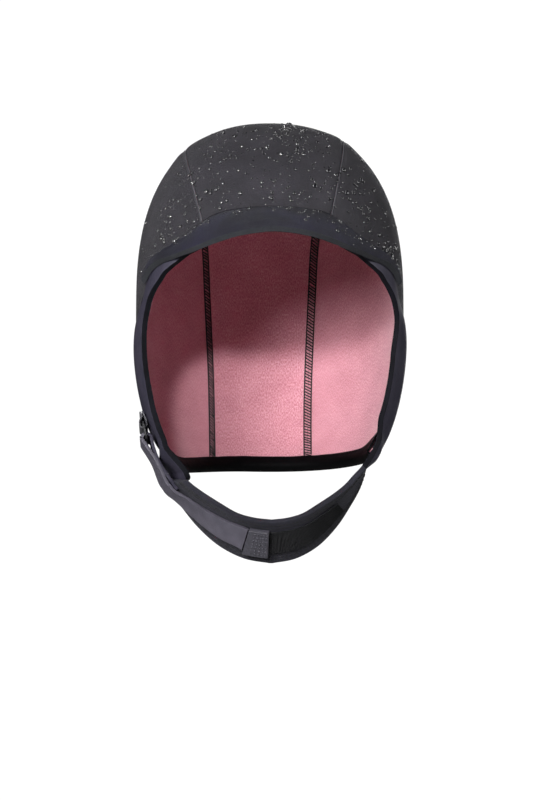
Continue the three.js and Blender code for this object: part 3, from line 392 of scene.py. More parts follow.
def band_frame(side, along, across):
    """Point and outward normal of the band."""
    return surface_frame(lambda a, b: band_point(side, a, b), along, across)


def layer_point(point, seam_distance, depth):
    """Sinks a point of the form into the cloth, with the ridge that the seams raise."""
    height = SEAM_RIDGE * smooth(SEAM_RIDGE_FOOT, SEAM_RIDGE_TOP, point.z)
    ridge = height * math.exp(-((seam_distance / SEAM_RIDGE_REACH) ** 2))
    return point + form_normal(point) * (ridge - depth)


def spline_rows(rows, count):
    """The same surface with more rows: a smooth curve through each column of points."""
    last = len(rows) - 1
    result = []
    for share in shares(count):
        place = share * last
        i = min(int(place), last - 1)
        t = place - i
        row = []
        for j in range(len(rows[0])):
            a, b = rows[i][j], rows[i + 1][j]
            before = rows[i - 1][j] if i > 0 else a * 2 - b
            after = rows[i + 2][j] if i + 2 <= last else b * 2 - a
            lean = (b - before) * (t * (1 - t) ** 2 / 2) - (after - a) * (t * t * (1 - t) / 2)
            row.append(a + (b - a) * (t * t * (3 - 2 * t)) + lean)
        result.append(row)
    return result


def mesh_from(bm, name):
    """Turns a finished bmesh into a mesh and frees it."""
    mesh = bpy.data.meshes.new(name)
    bm.to_mesh(mesh)
    bm.free()
    return mesh


def sheet_mesh(name, rows, closed=False, away_from=None):
    """A mesh of a grid of points in millimetres, with a UV map in metres along its own surface."""
    lines, places = len(rows), len(rows[0])
    bm = bmesh.new()
    bmesh.ops.create_grid(bm, x_segments=places - 1, y_segments=lines - 1, size=1)
    seat = {}
    for vert in bm.verts:
        column = round((vert.co.x + 1) / 2 * (places - 1))
        line = round((vert.co.y + 1) / 2 * (lines - 1))
        seat[vert] = (line, column)
    run = [0.0]
    middle = places // 2
    for i in range(1, lines):
        run.append(run[-1] + (rows[i][middle] - rows[i - 1][middle]).length)
    spread = []
    for row in rows:
        line = [0.0]
        for j in range(1, places):
            line.append(line[-1] + (row[j] - row[j - 1]).length)
        spread.append([x - line[middle] for x in line])
    uv = bm.loops.layers.uv.new("surface")
    for face in bm.faces:
        for loop in face.loops:
            line, column = seat[loop.vert]
            loop[uv].uv = (spread[line][column] * MM, run[line] * MM)
    for vert, (line, column) in seat.items():
        vert.co = rows[line][column] * MM
    if closed:
        bmesh.ops.remove_doubles(bm, verts=bm.verts, dist=1e-6)
        bmesh.ops.holes_fill(bm, edges=[e for e in bm.edges if e.is_boundary], sides=0)
    bmesh.ops.recalc_face_normals(bm, faces=bm.faces)
    if away_from is not None:
        facing = sum(f.normal.dot(f.calc_center_median() - away_from * MM) for f in bm.faces)
        if facing < 0:
            bmesh.ops.reverse_faces(bm, faces=bm.faces)
    return mesh_from(bm, name)


def add_piece(name, mesh, materials, nodes=(), smooth_angle=40):
    """Links a finished mesh as a piece that rides on the cap and stands for its solids."""
    piece = bpy.data.objects.new(name, mesh)
    bpy.context.scene.collection.objects.link(piece)
    for material in materials:
        mesh.materials.append(material)
    mesh.shade_smooth()
    if smooth_angle:
        mesh.set_sharp_from_angle(angle=math.radians(smooth_angle))
    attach(piece, "root")
    if nodes:
        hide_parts(*nodes)
    return piece


def round_edges(piece, rounding, segments, angle):
    """Rounds the edges at which a piece turns by more than an angle."""
    edge = piece.modifiers.new("Soft edge", "BEVEL")
    edge.width = rounding * MM
    edge.segments = segments
    edge.limit_method = "ANGLE"
    edge.angle_limit = math.radians(angle)


def give_wall(piece, wall, rounding, offset=-1, segments=2, rim_material=0):
    """Thickness for a sheet, with its edges rounded."""
    solid = piece.modifiers.new("Wall", "SOLIDIFY")
    solid.thickness = wall * MM
    solid.offset = offset
    solid.use_even_offset = False
    solid.material_offset_rim = rim_material
    round_edges(piece, rounding, segments, 60)


def seat_on(point, normal):
    """A matrix that stands something on a point in millimetres."""
    return Matrix.Translation(point * MM) @ normal.to_track_quat("Z", "Y").to_matrix().to_4x4()


def thread_mesh(name, runs, radius):
    """Round threads through runs of points in millimetres, as one mesh."""
    curve = bpy.data.curves.new(name, "CURVE")
    curve.dimensions = "3D"
    curve.bevel_depth = radius * MM
    curve.bevel_resolution = 1
    curve.use_fill_caps = True
    for run in runs:
        spline = curve.splines.new("POLY")
        spline.points.add(len(run) - 1)
        for place, point in zip(spline.points, run):
            place.co = (*(point * MM), 1)
    holder = bpy.data.objects.new(name, curve)
    bpy.context.scene.collection.objects.link(holder)
    bpy.context.view_layer.update()
    mesh = bpy.data.meshes.new_from_object(holder.evaluated_get(bpy.context.evaluated_depsgraph_get()))
    bpy.data.objects.remove(holder)
    bpy.data.curves.remove(curve)
    mesh.name = name
    mesh.materials.clear()
    return mesh


# Materials


def linear(code):
    """Linear colour of an sRGB hex value."""
    parts = [int(code[i:i + 2], 16) / 255 for i in (0, 2, 4)]
    return tuple(c / 12.92 if c <= 0.04045 else ((c + 0.055) / 1.055) ** 2.4 for c in parts) + (1,)


def shades(chosen, usual, codes):
    """Linear colours of a finish's shades, moved as the chosen colour has moved from the usual one."""
    moved = [new / old for new, old in zip(chosen, linear(usual))]
    return [(*(part * share for part, share in zip(linear(code), moved)), 1) for code in codes]


def add_node(tree, kind, links=None, **settings):
    """Adds a node, sets its properties and sockets, and links what is itself a socket."""
    node = tree.nodes.new(kind)
    for key, value in settings.items():
        setattr(node, key, value)
    for socket, value in (links or {}).items():
        if isinstance(value, bpy.types.NodeSocket):
            tree.links.new(value, node.inputs[socket])
        else:
            node.inputs[socket].default_value = value
    return node


def new_material(name):
    """An empty material with its output and main shader."""
    material = bpy.data.materials.new(name)
    material.use_nodes = True
    tree = material.node_tree
    tree.nodes.clear()
    shader = add_node(tree, "ShaderNodeBsdfPrincipled")
    add_node(tree, "ShaderNodeOutputMaterial", {"Surface": shader.outputs["BSDF"]})
    return material, tree, shader


def surface_place(tree, width, length):
    """Coordinates along the cloth, in which one unit is a width and a length in millimetres."""
    uv = add_node(tree, "ShaderNodeUVMap", uv_map="surface")
    return add_node(tree, "ShaderNodeMapping", {
        "Vector": uv.outputs["UV"], "Scale": (1 / (width * MM), 1 / (length * MM), 1),
    }).outputs["Vector"]


def object_place(tree, size):
    """Object coordinates in which one unit is a size in millimetres."""
    place = add_node(tree, "ShaderNodeTexCoord")
    scale = 1 / (size * MM)
    return add_node(tree, "ShaderNodeMapping", {
        "Vector": place.outputs["Object"], "Scale": (scale, scale, scale),
    }).outputs["Vector"]


def speckle(tree, place, detail=2.0, roughness=0.5):
    """Soft noise about one unit of its coordinates wide."""
    return add_node(tree, "ShaderNodeTexNoise", {
        "Vector": place, "Scale": 1.0, "Detail": detail, "Roughness": roughness,
    }).outputs["Fac"]


def ramp(tree, factor, stops):
    """Colours by factor: stops are pairs of a place and a colour, linear or in hex."""
    node = add_node(tree, "ShaderNodeValToRGB", {"Fac": factor})
    elements = node.color_ramp.elements
    while len(elements) < len(stops):
        elements.new(0.5)
    for element, (place, colour) in zip(elements, stops):
        element.position = place
        element.color = linear(colour) if isinstance(colour, str) else colour
    return node.outputs["Color"]


def overlay(tree, factor, first, second):
    """One colour overlaid with another."""
    return add_node(tree, "ShaderNodeMix", {0: factor, 6: first, 7: second},
                    data_type="RGBA", blend_type="OVERLAY").outputs[2]


def sum_of(tree, first, second, weight):
    """One height added to another with a weight."""
    sockets = {0: second, 1: weight, 2: first}
    return add_node(tree, "ShaderNodeMath", sockets, operation="MULTIPLY_ADD").outputs[0]


def span_of(tree, value, low, high):
    """A value from 0 to 1 spread between two others."""
    sockets = {"Value": value, "To Min": low, "To Max": high}
    return add_node(tree, "ShaderNodeMapRange", sockets).outputs["Result"]


def emboss(tree, shader, height, depth, strength):
    """Relief of a depth in millimetres."""
    bump = add_node(tree, "ShaderNodeBump", {"Height": height, "Distance": depth * MM, "Strength": strength})
    tree.links.new(bump.outputs["Normal"], shader.inputs["Normal"])


def wale_height(tree, width, length):
    """Knit face in rows of small loops. Real ones are about 0.4 mm and are drawn coarser to show."""
    place = surface_place(tree, width, length)
    wales, courses = (add_node(tree, "ShaderNodeTexWave", {
        "Vector": place, "Scale": 0.5, "Distortion": wander, "Detail": 1.0, "Detail Scale": 2.0,
    }, wave_type="BANDS", bands_direction=way).outputs["Fac"] for way, wander in (("X", 1.2), ("Y", 1.6)))
    return sum_of(tree, wales, courses, 0.8)


def jersey_neoprene(name, dark, middle, light, roughness, wet):
    """Nylon jersey laminated on foam rubber.

    It is matte and finely knitted, and slicker where water lies on it.
    """
    material, tree, shader = new_material(name)
    cloud = speckle(tree, object_place(tree, 24), 4.0, 0.6)
    grain = speckle(tree, object_place(tree, 0.9), 3.0, 0.7)
    tone = ramp(tree, cloud, [(0.3, dark), (0.5, middle), (0.72, light)])
    fleck = ramp(tree, grain, [(0.3, "8c8c90"), (0.55, "bababe"), (0.8, "dedee2")])
    tree.links.new(overlay(tree, 0.55, tone, fleck), shader.inputs["Base Color"])
    damp = speckle(tree, object_place(tree, 11), 2.0, 0.5)
    tree.links.new(span_of(tree, damp, roughness - wet, roughness + wet), shader.inputs["Roughness"])
    shader.inputs["IOR"].default_value = 1.5
    shader.inputs["Specular IOR Level"].default_value = 0.25
    shader.inputs["Sheen Weight"].default_value = 0.03
    shader.inputs["Sheen Roughness"].default_value = 0.5
    height = sum_of(tree, wale_height(tree, 0.9, 1.1), grain, 1.4)
    emboss(tree, shader, height, 0.35, 0.5)
    return material


def skin_neoprene(name, dark, light, roughness, gloss, reflection=0.2):
    """Smooth-skin neoprene: dense black rubber with a satin skin, small creases and a faint bloom."""
    material, tree, shader = new_material(name)
    bloom = speckle(tree, object_place(tree, 14), 4.0, 0.65)
    tree.links.new(ramp(tree, bloom, [(0.35, dark), (0.7, light)]), shader.inputs["Base Color"])
    scuff = speckle(tree, object_place(tree, 2.2), 5.0, 0.7)
    tree.links.new(span_of(tree, scuff, roughness - 0.12, roughness + 0.12), shader.inputs["Roughness"])
    shader.inputs["IOR"].default_value = 1.52
    shader.inputs["Specular IOR Level"].default_value = reflection
    shader.inputs["Coat Weight"].default_value = gloss
    shader.inputs["Coat Roughness"].default_value = 0.28
    creases = speckle(tree, surface_place(tree, 9, 3), 4.0, 0.6)
    emboss(tree, shader, sum_of(tree, scuff, creases, 1.5), 0.3, 0.35)
    return material


def heather_fleece(name, deep, body, pale):
    """Brushed polyester fleece in melange yarn.

    Pale and rose fibres lie side by side, with a soft sheen at grazing angles.
    """
    material, tree, shader = new_material(name)
    yarn = speckle(tree, surface_place(tree, 0.6, 1.4), 3.0, 0.75)
    cloud = speckle(tree, object_place(tree, 18), 3.0, 0.55)
    tone = ramp(tree, yarn, [(0.3, deep), (0.5, body), (0.7, pale)])
    drift = ramp(tree, cloud, [(0.3, "b2b2b2"), (0.7, "c4c4c4")])
    tree.links.new(overlay(tree, 1.0, tone, drift), shader.inputs["Base Color"])
    shader.inputs["Roughness"].default_value = 0.95
    shader.inputs["IOR"].default_value = 1.5
    shader.inputs["Specular IOR Level"].default_value = 0.2
    shader.inputs["Sheen Weight"].default_value = 0.2
    shader.inputs["Sheen Roughness"].default_value = 0.6
    nap = speckle(tree, surface_place(tree, 0.5, 1.1), 4.0, 0.8)
    emboss(tree, shader, nap, 0.5, 0.6)
    return material


def loop_pile(name):
    """Nylon loop pile of a hook-and-loop closure: curled fibres that swallow light, laid in ribs."""
    material, tree, shader = new_material(name)
    fibres = speckle(tree, surface_place(tree, 0.9, 0.5), 4.0, 0.8)
    tree.links.new(ramp(tree, fibres, [(0.3, "0a0a0c"), (0.6, "18181c"), (0.8, "303035")]),
                   shader.inputs["Base Color"])
    shader.inputs["Roughness"].default_value = 0.92
    shader.inputs["IOR"].default_value = 1.53
    shader.inputs["Specular IOR Level"].default_value = 0.2
    shader.inputs["Sheen Weight"].default_value = 0.05
    emboss(tree, shader, fibres, 0.7, 0.8)
    return material


def coated_webbing(name, dark, light):
    """Coated webbing: a close flat weave under a thin rubber coat, mid grey with a low even shine."""
    material, tree, shader = new_material(name)
    cloud = speckle(tree, object_place(tree, 9), 3.0, 0.5)
    tree.links.new(ramp(tree, cloud, [(0.3, dark), (0.7, light)]), shader.inputs["Base Color"])
    shader.inputs["Roughness"].default_value = 0.58
    shader.inputs["IOR"].default_value = 1.5
    weave = sum_of(tree, wale_height(tree, 0.8, 0.8), speckle(tree, object_place(tree, 0.7)), 0.8)
    emboss(tree, shader, weave, 0.2, 0.3)
    return material


def moulded_rubber(name, dark, light, roughness):
    """Moulded soft rubber: fine spark-eroded grain from the mould, a little gloss on worn high spots."""
    material, tree, shader = new_material(name)
    grain = speckle(tree, object_place(tree, 0.8), 3.0, 0.6)
    tree.links.new(ramp(tree, grain, [(0.35, dark), (0.7, light)]), shader.inputs["Base Color"])
    tree.links.new(span_of(tree, grain, roughness + 0.1, roughness - 0.1), shader.inputs["Roughness"])
    shader.inputs["IOR"].default_value = 1.5
    emboss(tree, shader, grain, 0.15, 0.4)
    return material


def sewing_thread(name, dark, light, roughness):
    """Bonded nylon thread: twisted filaments, near black, with a thin glint along each stitch."""
    material, tree, shader = new_material(name)
    twist = speckle(tree, object_place(tree, 0.5), 2.0, 0.5)
    tree.links.new(ramp(tree, twist, [(0.3, dark), (0.7, light)]), shader.inputs["Base Color"])
    shader.inputs["Roughness"].default_value = roughness
    shader.inputs["IOR"].default_value = 1.53
    emboss(tree, shader, twist, 0.1, 0.5)
    return material


def water_with_painted_shade(name):
    """Water on dark cloth.

    Each bead is painted an opaque near-black, a painted shade in place of the darkened cloth seen through it,
    and shows the lamps' glints on a smooth skin. A bead is only a few pixels wide in the picture, so the coat
    draws its glint larger than water's own.
    """
    material, tree, shader = new_material(name)
    # painted shade: an opaque dark base colour instead of clear water over the cloth
    shader.inputs["Base Color"].default_value = linear("18171b")
    shader.inputs["Roughness"].default_value = 0.12
    shader.inputs["IOR"].default_value = 1.333
    shader.inputs["Coat Weight"].default_value = 1.0
    shader.inputs["Coat IOR"].default_value = 1.75
    shader.inputs["Coat Roughness"].default_value = 0.12
    ripple = speckle(tree, object_place(tree, 1.5))
    emboss(tree, shader, ripple, 0.02, 0.1)
    return material


# Shapes of the pieces


def centre_rows(depth, lines, places, tuck=0.0):
    """Rows of the centre panel from the brow to the hem."""
    across = [2 * u - 1 for u in shares(places)]
    limits = [(brow_angle(t), hem_angle(t)) for t in across]
    rows = []
    for share in shares(lines):
        row = []
        for t, (brow, hem) in zip(across, limits):
            part = max(share, SEAM_GAP / (BACK_REACH * math.radians(hem - brow)))
            angle = mix(brow, hem, part)
            half = seam_half(angle)
            held = t * (1 - SEAM_GAP / 2 / half)
            distance = half * (1 - abs(t))
            sink = depth + tuck * math.exp(-distance / SEAM_TUCK_REACH)
            row.append(layer_point(strip_point(held, angle), distance, sink))
        rows.append(row)
    return rows


def side_limits(side):
    return brow_angle(side), hem_angle(side)


def side_foot(side, share, junction):
    """Lower edge of a side panel: first along the band, then along the nape hem."""
    brow, hem = side_limits(side)
    if share <= junction:
        start = along_at_azimuth(azimuth_of(strip_point(side, brow)))
        return band_seam(side, mix(start, 1, share / junction))
    first = read_table(BAND_SEAM, 1, 1)
    last = abs(azimuth_of(strip_point(side, hem)))
    azimuth = side * mix(first, last, (share - junction) / (1 - junction))
    return at_level(azimuth, hem_level(at_level(azimuth, HEM_LEVEL)))


def side_rows(side, depth, lines, places, tuck=0.0):
    """Rows of a side panel from the crown's seam down to the band and the hem."""
    brow, hem = side_limits(side)
    columns = []
    for share in shares(places):
        top = strip_point(side, mix(brow, hem, share), SEAM_GAP / 2)
        foot = side_foot(side, share, 0.5)
        length = max((top - foot).length, 1)
        keep = SEAM_GAP / length if share <= 0.5 else 0
        start, end = (top - CENTRE).normalized(), (foot - CENTRE).normalized()
        column = []
        for u in shares(lines):
            place = u * (1 - keep)
            sink = depth + tuck * math.exp(-length * place / SEAM_TUCK_REACH)
            column.append(layer_point(on_form(start.lerp(end, place)), length * place, sink))
        columns.append(column)
    return [list(row) for row in zip(*columns)]


def band_lines(depth, places, reach=(1.0, 1.0)):
    """Rows of the face band from the lug on the right flap over the brow to the end of the left flap."""
    across = shares(places)

    def flap_line(side, along):
        row = []
        for u in (reach[side > 0] * u for u in across):
            point, normal = band_frame(side, along, u)
            if side > 0:
                curl = smooth(0.5, 0.72, along) * smooth(1.06, 0.96, along) * smooth(0.3, 1, u)
                point -= normal * EDGE_CURL * curl
            seamed = 1 - u if along <= 1 else 0
            normal = normal.lerp(form_normal(point), seamed).normalized()
            row.append(point - normal * depth)
        return row

    def lug_line(along, inset):
        row = []
        for u in across:
            point, normal = surface_frame(strap_point, along - 1, mix(1 - inset * 0.4, inset, u))
            row.append(point - normal * (STRAP_WALL + LAYER_GAP + depth))
        return row

    places_down = [mix(FIRST_PLACE, 1, u) for u in shares(26)]
    right = [flap_line(-1, along) for along in (*places_down, 1.045, 1.09)]
    left = [flap_line(1, along) for along in (*places_down, 1.045, 1.09, 1.13)]
    last = []
    for u in across:
        point, normal = surface_frame(strap_point, 1 - 0.8 / STRAP_HALF_SPAN, 1 - u)
        last.append(point - normal * (depth + 0.05))
    lug = [lug_line(LUG_END * part, inset) for part, inset in LUG_ROWS]
    return [*lug, *reversed(right), *left, last]


def peak_lines():
    """Closed sections of the peak, each over its top from root to edge and back under it."""
    lines = []
    end = PEAK_EDGE[-1][0]
    for share in [2 * u - 1 for u in shares(PEAK_LINES)]:
        side = -1 if share < 0 else 1
        along = abs(share) * end
        root = band_seam(side, along)
        outward = form_normal(root)
        x = side * HALF_WIDTH * read_table(PEAK_EDGE, 1, along)
        level = -NAPE_DROP * read_table(PEAK_EDGE, 3, along)
        reach = PEAK_REACH * read_table(PEAK_EDGE, 2, along)
        flat = -math.sqrt(max(0, 1 - (x / HALF_WIDTH) ** 2)) * FRONT_REACH
        plan = on_form(Vector((x, flat, level - WIDEST_LEVEL)))
        edge = Vector((x, min(plan.y, root.y) - reach, level))
        start = root + outward * LAYER_GAP
        lift = PEAK_WALL + 2 * LAYER_GAP - (edge - root).dot(outward)
        edge += outward * max(lift, 0)
        chord = edge - start
        sideways = Vector((-outward.y, outward.x, 0)).normalized()
        up = chord.cross(sideways).normalized()
        if up.z < 0:
            up.negate()
        top = [start + chord * u + up * (PEAK_CAMBER * 4 * u * (1 - u)) for u in shares(PEAK_STEPS)]
        below = [p - up * PEAK_WALL for p in top]
        width = (face_edge(side, along) - root).length
        for i in range(len(top)):
            for run, rise in ((below, 0), (top, PEAK_WALL if i else 0)):
                place = min((run[i] - root).length / width, 1)
                point, normal = band_frame(side, along, place)
                missing = PEAK_CLEARANCE + rise - (run[i] - point).dot(normal)
                run[i] += normal * max(missing, 0)
        lines.append([*top, *reversed(below), top[0]])
    return lines


def nape_lines(count):
    """Closed sections of the folded binding along the nape hem."""
    outer, inner = LAYER_GAP, -CLOTH_WALL - BINDING_GAP
    high, low = BINDING_HEIGHT, -LAYER_GAP
    outside, inside = outer + BINDING_WALL, inner - BINDING_WALL
    profile = [
        (outside, high), (outer, high), (outer, low), (inner, low), (inner, high),
        (inside, high), (inside - BINDING_SWELL, high * 0.5), (inside, low),
        (inner, low - BINDING_WALL), (outer, low - BINDING_WALL),
        (outside, low), (outside + BINDING_SWELL, high * 0.5), (outside, high),
    ]
    lines = []
    for share in shares(count):
        turn = mix(BINDING_START, BINDING_END, share)
        azimuth = turn if turn <= 180 else turn - 360
        hem = at_level(azimuth, hem_level(at_level(azimuth, HEM_LEVEL)))
        normal = form_normal(hem)
        angle = math.radians(azimuth)
        tangent = Vector((math.cos(angle), math.sin(angle), 0))
        up = tangent.cross(normal).normalized()
        if up.z < 0:
            up.negate()
        ripple = HEM_RIPPLE * noise.noise(Vector((share * 24, 0.3, 7.1)))
        turned_up = BINDING_HEIGHT * smooth(TURNED_UP_FROM, TURNED_UP_TO, turn)
        row = []
        for out, rise in profile:
            lift = ripple + (turned_up if out < 0 else 0)
            point = hem + up * (rise + lift * (rise > 0))
            at = normal
            if rise > 0:
                point = on_form(point - CENTRE)
                at = form_normal(point)
            row.append(point + at * out)
        lines.append(row)
    return lines


def strap_lines(starts, end, count, across, raise_by):
    """Rows on the strap, raised above its outer face, each place across from its own start to the end."""
    rows = []
    for u in shares(count):
        row = []
        for start, place in zip(starts, across):
            point, normal = surface_frame(strap_point, mix(start, end, u), place)
            row.append(point + normal * raise_by)
        rows.append(row)
    return rows


def on_strap(along, across, raise_by, width):
    """Edge points of a strip that lies along the strap."""
    reach = width / (strap_point(along, 0) - strap_point(along, 1)).length / 2
    edges = []
    for place in (across - reach, across + reach):
        point, normal = surface_frame(strap_point, along, place)
        edges.append(point + normal * raise_by)
    return edges


class Buckle:
    """Places of the ring and its keeper on the right cheek flap."""

    def __init__(self):
        self.anchor, self.normal = band_frame(-1, BUCKLE_PLACE, BUCKLE_ACROSS)
        first, _ = surface_frame(strap_point, TONGUE_INNER_RUN[2][0] - 1, TONGUE_INNER_RUN[2][1])
        down = first - self.anchor
        self.down = (down - self.normal * down.dot(self.normal)).normalized()
        self.across = self.normal.cross(self.down).normalized()
        tilt = math.radians(RING_TILT)
        self.ring_down = self.down * math.cos(tilt) + self.normal * math.sin(tilt)
        self.ring_out = self.normal * math.cos(tilt) - self.down * math.sin(tilt)
        bar = math.hypot(RING_BAR, RING_THICKNESS) / 2
        self.bend = bar + LAYER_GAP + KEEPER_WALL / 2
        self.offset = self.bend + KEEPER_WALL / 2 + 2 * LAYER_GAP
        self.fold = bar + 1.5 * LAYER_GAP + TONGUE_WALL / 2
        self.upper = self.anchor + self.normal * self.offset
        self.lower = self.upper + self.ring_down * RING_PITCH


def edges_about(point, over, width):
    return [point - over * (width / 2), point + over * (width / 2)]


def keeper_lines(buckle):
    low = LAYER_GAP + KEEPER_WALL / 2
    high = low + KEEPER_WALL + LAYER_GAP

    def on_flap(along, offset):
        bow = along * along / FRONT_REACH / 2
        return buckle.anchor + buckle.down * along + buckle.normal * (offset + bow)

    bend = []
    for u in shares(6):
        turn = mix(-0.62, 0.5, u) * math.pi
        bend.append(buckle.upper + buckle.down * (buckle.bend * math.cos(turn))
                    + buckle.normal * (buckle.bend * math.sin(turn)))
    points = [
        on_flap(-KEEPER_LENGTH, low), on_flap(-buckle.bend, low), *bend,
        on_flap(-buckle.bend * 1.2, buckle.offset + buckle.bend * 0.55),
        on_flap(-KEEPER_LENGTH * 0.62, high + LAYER_GAP), on_flap(-KEEPER_LENGTH, high + LAYER_GAP),
    ]
    return [edges_about(point, buckle.across, KEEPER_WIDTH) for point in points]


def tongue_lines(buckle):
    ply = LAYER_GAP + STRIP_CLEARANCE + TONGUE_WALL / 2
    step = TONGUE_WALL + LAYER_GAP
    inner = [on_strap(along - 1, across, ply, TONGUE_WIDTH) for along, across, _ in TONGUE_INNER_RUN]
    over = buckle.across.copy()
    if over.dot(inner[2][1] - inner[2][0]) < 0:
        over.negate()
    fold = []
    for u in shares(8):
        turn = u * math.pi
        point = (buckle.lower - buckle.ring_out * (buckle.fold * math.cos(turn))
                 - buckle.ring_down * (buckle.fold * math.sin(turn)))
        fold.append(edges_about(point, over, TONGUE_WIDTH))
    outer = [on_strap(along - 1, across, ply + plies * step, TONGUE_WIDTH)
             for along, across, plies in TONGUE_OUTER_RUN]
    rising = []
    for t in (0.25, 0.5, 0.75):
        push = buckle.normal * (TONGUE_BOW * 4 * t * (1 - t))
        rising.append([a.lerp(b, t) + push for a, b in zip(inner[2], fold[0])])
    falling = [a.lerp(b, 0.5) - buckle.normal * TONGUE_SAG for a, b in zip(fold[-1], outer[0])]
    return [*inner, *rising, *fold, falling, *outer]


def widen(rows, places):
    """Rows of two edge points each, with more points between."""
    return [[a.lerp(b, u) for u in shares(places)] for a, b in rows]


def ring_lines(buckle):
    """Closed sections round the ring's rounded rectangle."""
    half_width = TONGUE_WIDTH / 2 + RING_SIDE_CLEARANCE + RING_BAR / 2
    half_height = RING_PITCH / 2
    radius = RING_CORNER - RING_BAR / 4
    middle = (buckle.upper + buckle.lower) / 2
    path = []
    for cx, cy, start in ((1, 1, 0), (-1, 1, 90), (-1, -1, 180), (1, -1, 270)):
        for step in shares(6):
            turn = math.radians(start + 90 * step)
            path.append((cx * (half_width - radius) + radius * math.cos(turn),
                         cy * (half_height - radius) + radius * math.sin(turn),
                         Vector((math.cos(turn), math.sin(turn)))))
    path.append(path[0])
    lines = []
    for x, y, out in path:
        row = []
        for step in shares(12):
            turn = 2 * math.pi * step
            c, s = math.cos(turn), math.sin(turn)
            flat = math.copysign(abs(c) ** 0.7, c) * RING_BAR / 2
            tall = math.copysign(abs(s) ** 0.7, s) * RING_THICKNESS / 2
            row.append(middle + buckle.across * (x + out.x * flat) - buckle.ring_down * (y + out.y * flat)
                       + buckle.ring_out * tall)
        lines.append(row)
    return lines


def seam_point(side, angle, offset, depth):
    """A point beside a crown seam, sunk into the cloth."""
    half = seam_half(angle)
    return layer_point(strip_point(side * (1 + offset / half), angle), abs(offset), depth)


def seam_angles(side, step):
    """Angles over the head of even steps along a crown seam, from the brow to the nape binding."""
    brow, hem = brow_angle(side), hem_angle(side)
    angles = [mix(brow + SEAM_START, hem - SEAM_STOP, u) for u in shares(600)]
    chosen, carry = [angles[0]], 0.0
    for first, second in zip(angles, angles[1:]):
        carry += (seam_point(side, second, 0, 0) - seam_point(side, first, 0, 0)).length
        if carry >= step:
            chosen.append(second)
            carry -= step
    return chosen


def build_crown(looks):
    """The three panels and the glue line along each seam."""
    for name, rows, node in (
        ("crown_centre", centre_rows(0, lines=110, places=48, tuck=SEAM_TUCK), "crown_centre_panel"),
        ("crown_left", side_rows(1, 0, lines=40, places=100, tuck=SEAM_TUCK), "crown_side_left"),
        ("crown_right", side_rows(-1, 0, lines=40, places=100, tuck=SEAM_TUCK), "crown_side_right"),
    ):
        mesh = sheet_mesh(name, rows, away_from=CENTRE)
        piece = add_piece(name, mesh, [looks["crown"]], [node])
        give_wall(piece, SHELL_WALL - PANEL_EASE, 0.4)
    for name, side in (("crown_seam_left", 1), ("crown_seam_right", -1)):
        run = []
        for angle in seam_angles(side, SEAM_LINE_STEP):
            point = seam_point(side, angle, 0, SEAM_LINE_DEPTH)
            sink = SEAM_LINE_SINK * (1 + noise.noise(point / SEAM_LINE_SINK_LENGTH))
            run.append(point - form_normal(point) * sink)
        add_piece(name, thread_mesh(name, [run], SEAM_LINE_RADIUS), [looks["seam_line"]])


def build_lining(cap, looks):
    """The three lining panels, and over each join a flat seam of outer threads and slanting cross threads."""
    depth = SHELL_WALL + LAYER_GAP
    for name, rows, node in (
        ("inner_centre", centre_rows(depth, lines=90, places=36), "lining_centre"),
        ("inner_left", side_rows(1, depth, lines=36, places=90), "lining_left"),
        ("inner_right", side_rows(-1, depth, lines=36, places=90), "lining_right"),
    ):
        mesh = sheet_mesh(name, rows, away_from=CENTRE)
        piece = add_piece(name, mesh, [looks["lining"]], [node])
        give_wall(piece, LINING_WALL, 0.2, segments=1)
    for name, side, narrowing in FLATLOCKS:
        half = cap.flatlock_width / MM / 2 * narrowing
        angles = seam_angles(side, cap.flatlock_pitch / MM / 2)
        rails = [
            [seam_point(side, angle, offset, CLOTH_WALL + FLATLOCK_RISE) for angle in angles]
            for offset in (half, -half)
        ]
        runs = [rails[0][::2], rails[1][::2]]
        first, last = (1, 0) if side > 0 else (0, 1)
        for i in range(0, len(angles) - 3, 2):
            middle = seam_point(side, (angles[i] + angles[i + 3]) / 2, 0, CLOTH_WALL + FLATLOCK_CREST)
            runs.append([rails[first][i], middle, rails[last][i + 3]])
        mesh = thread_mesh(name, runs, FLATLOCK_RADIUS)
        add_piece(name, mesh, [looks["thread"]], smooth_angle=0)


def build_band(looks):
    """The band with its cut edge, and the fleece on its inside."""
    mesh = sheet_mesh("band_outer", spline_rows(band_lines(0, 10), 220), away_from=CENTRE)
    piece = add_piece("band_outer", mesh, [looks["band"], looks["band_rim"]], ["face_band"])
    give_wall(piece, CLOTH_WALL - BAND_EASE, 0.8, segments=3, rim_material=1)
    fleece = band_lines(CLOTH_WALL - BAND_EASE + FLEECE_GAP, 8, FLEECE_REACH)[FLEECE_ROWS]
    mesh = sheet_mesh("band_inner", spline_rows(fleece, 160), away_from=CENTRE)
    give_wall(add_piece("band_inner", mesh, [looks["lining"]]), FLEECE_WALL, 0.15)


def build_peak(looks):
    """The peak, with its cut foam edge showing between its two faces."""
    lines = peak_lines()
    mesh = sheet_mesh("peak_sheet", lines, closed=True)
    piece = add_piece("peak_sheet", mesh, [looks["peak"], looks["foam_edge"]], ["peak"])
    rims = [(row[PEAK_STEPS], row[PEAK_STEPS + 1]) for row in lines]
    for polygon in mesh.polygons:
        centre = polygon.center / MM
        upper, lower = min(rims, key=lambda rim: (rim[0] - centre).length)
        near = (centre - (upper + lower) / 2).length < PEAK_WALL * 0.62
        upright = abs(polygon.normal.dot((upper - lower).normalized())) < 0.5
        if near and upright:
            polygon.material_index = 1
    round_edges(piece, 0.45, 3, 55)


def build_nape(looks):
    """The binding folded over the nape hem."""
    mesh = sheet_mesh("nape_fold", nape_lines(150), closed=True)
    piece = add_piece("nape_fold", mesh, [looks["binding"]], ["nape_binding"], smooth_angle=50)
    round_edges(piece, 0.3, 2, 50)


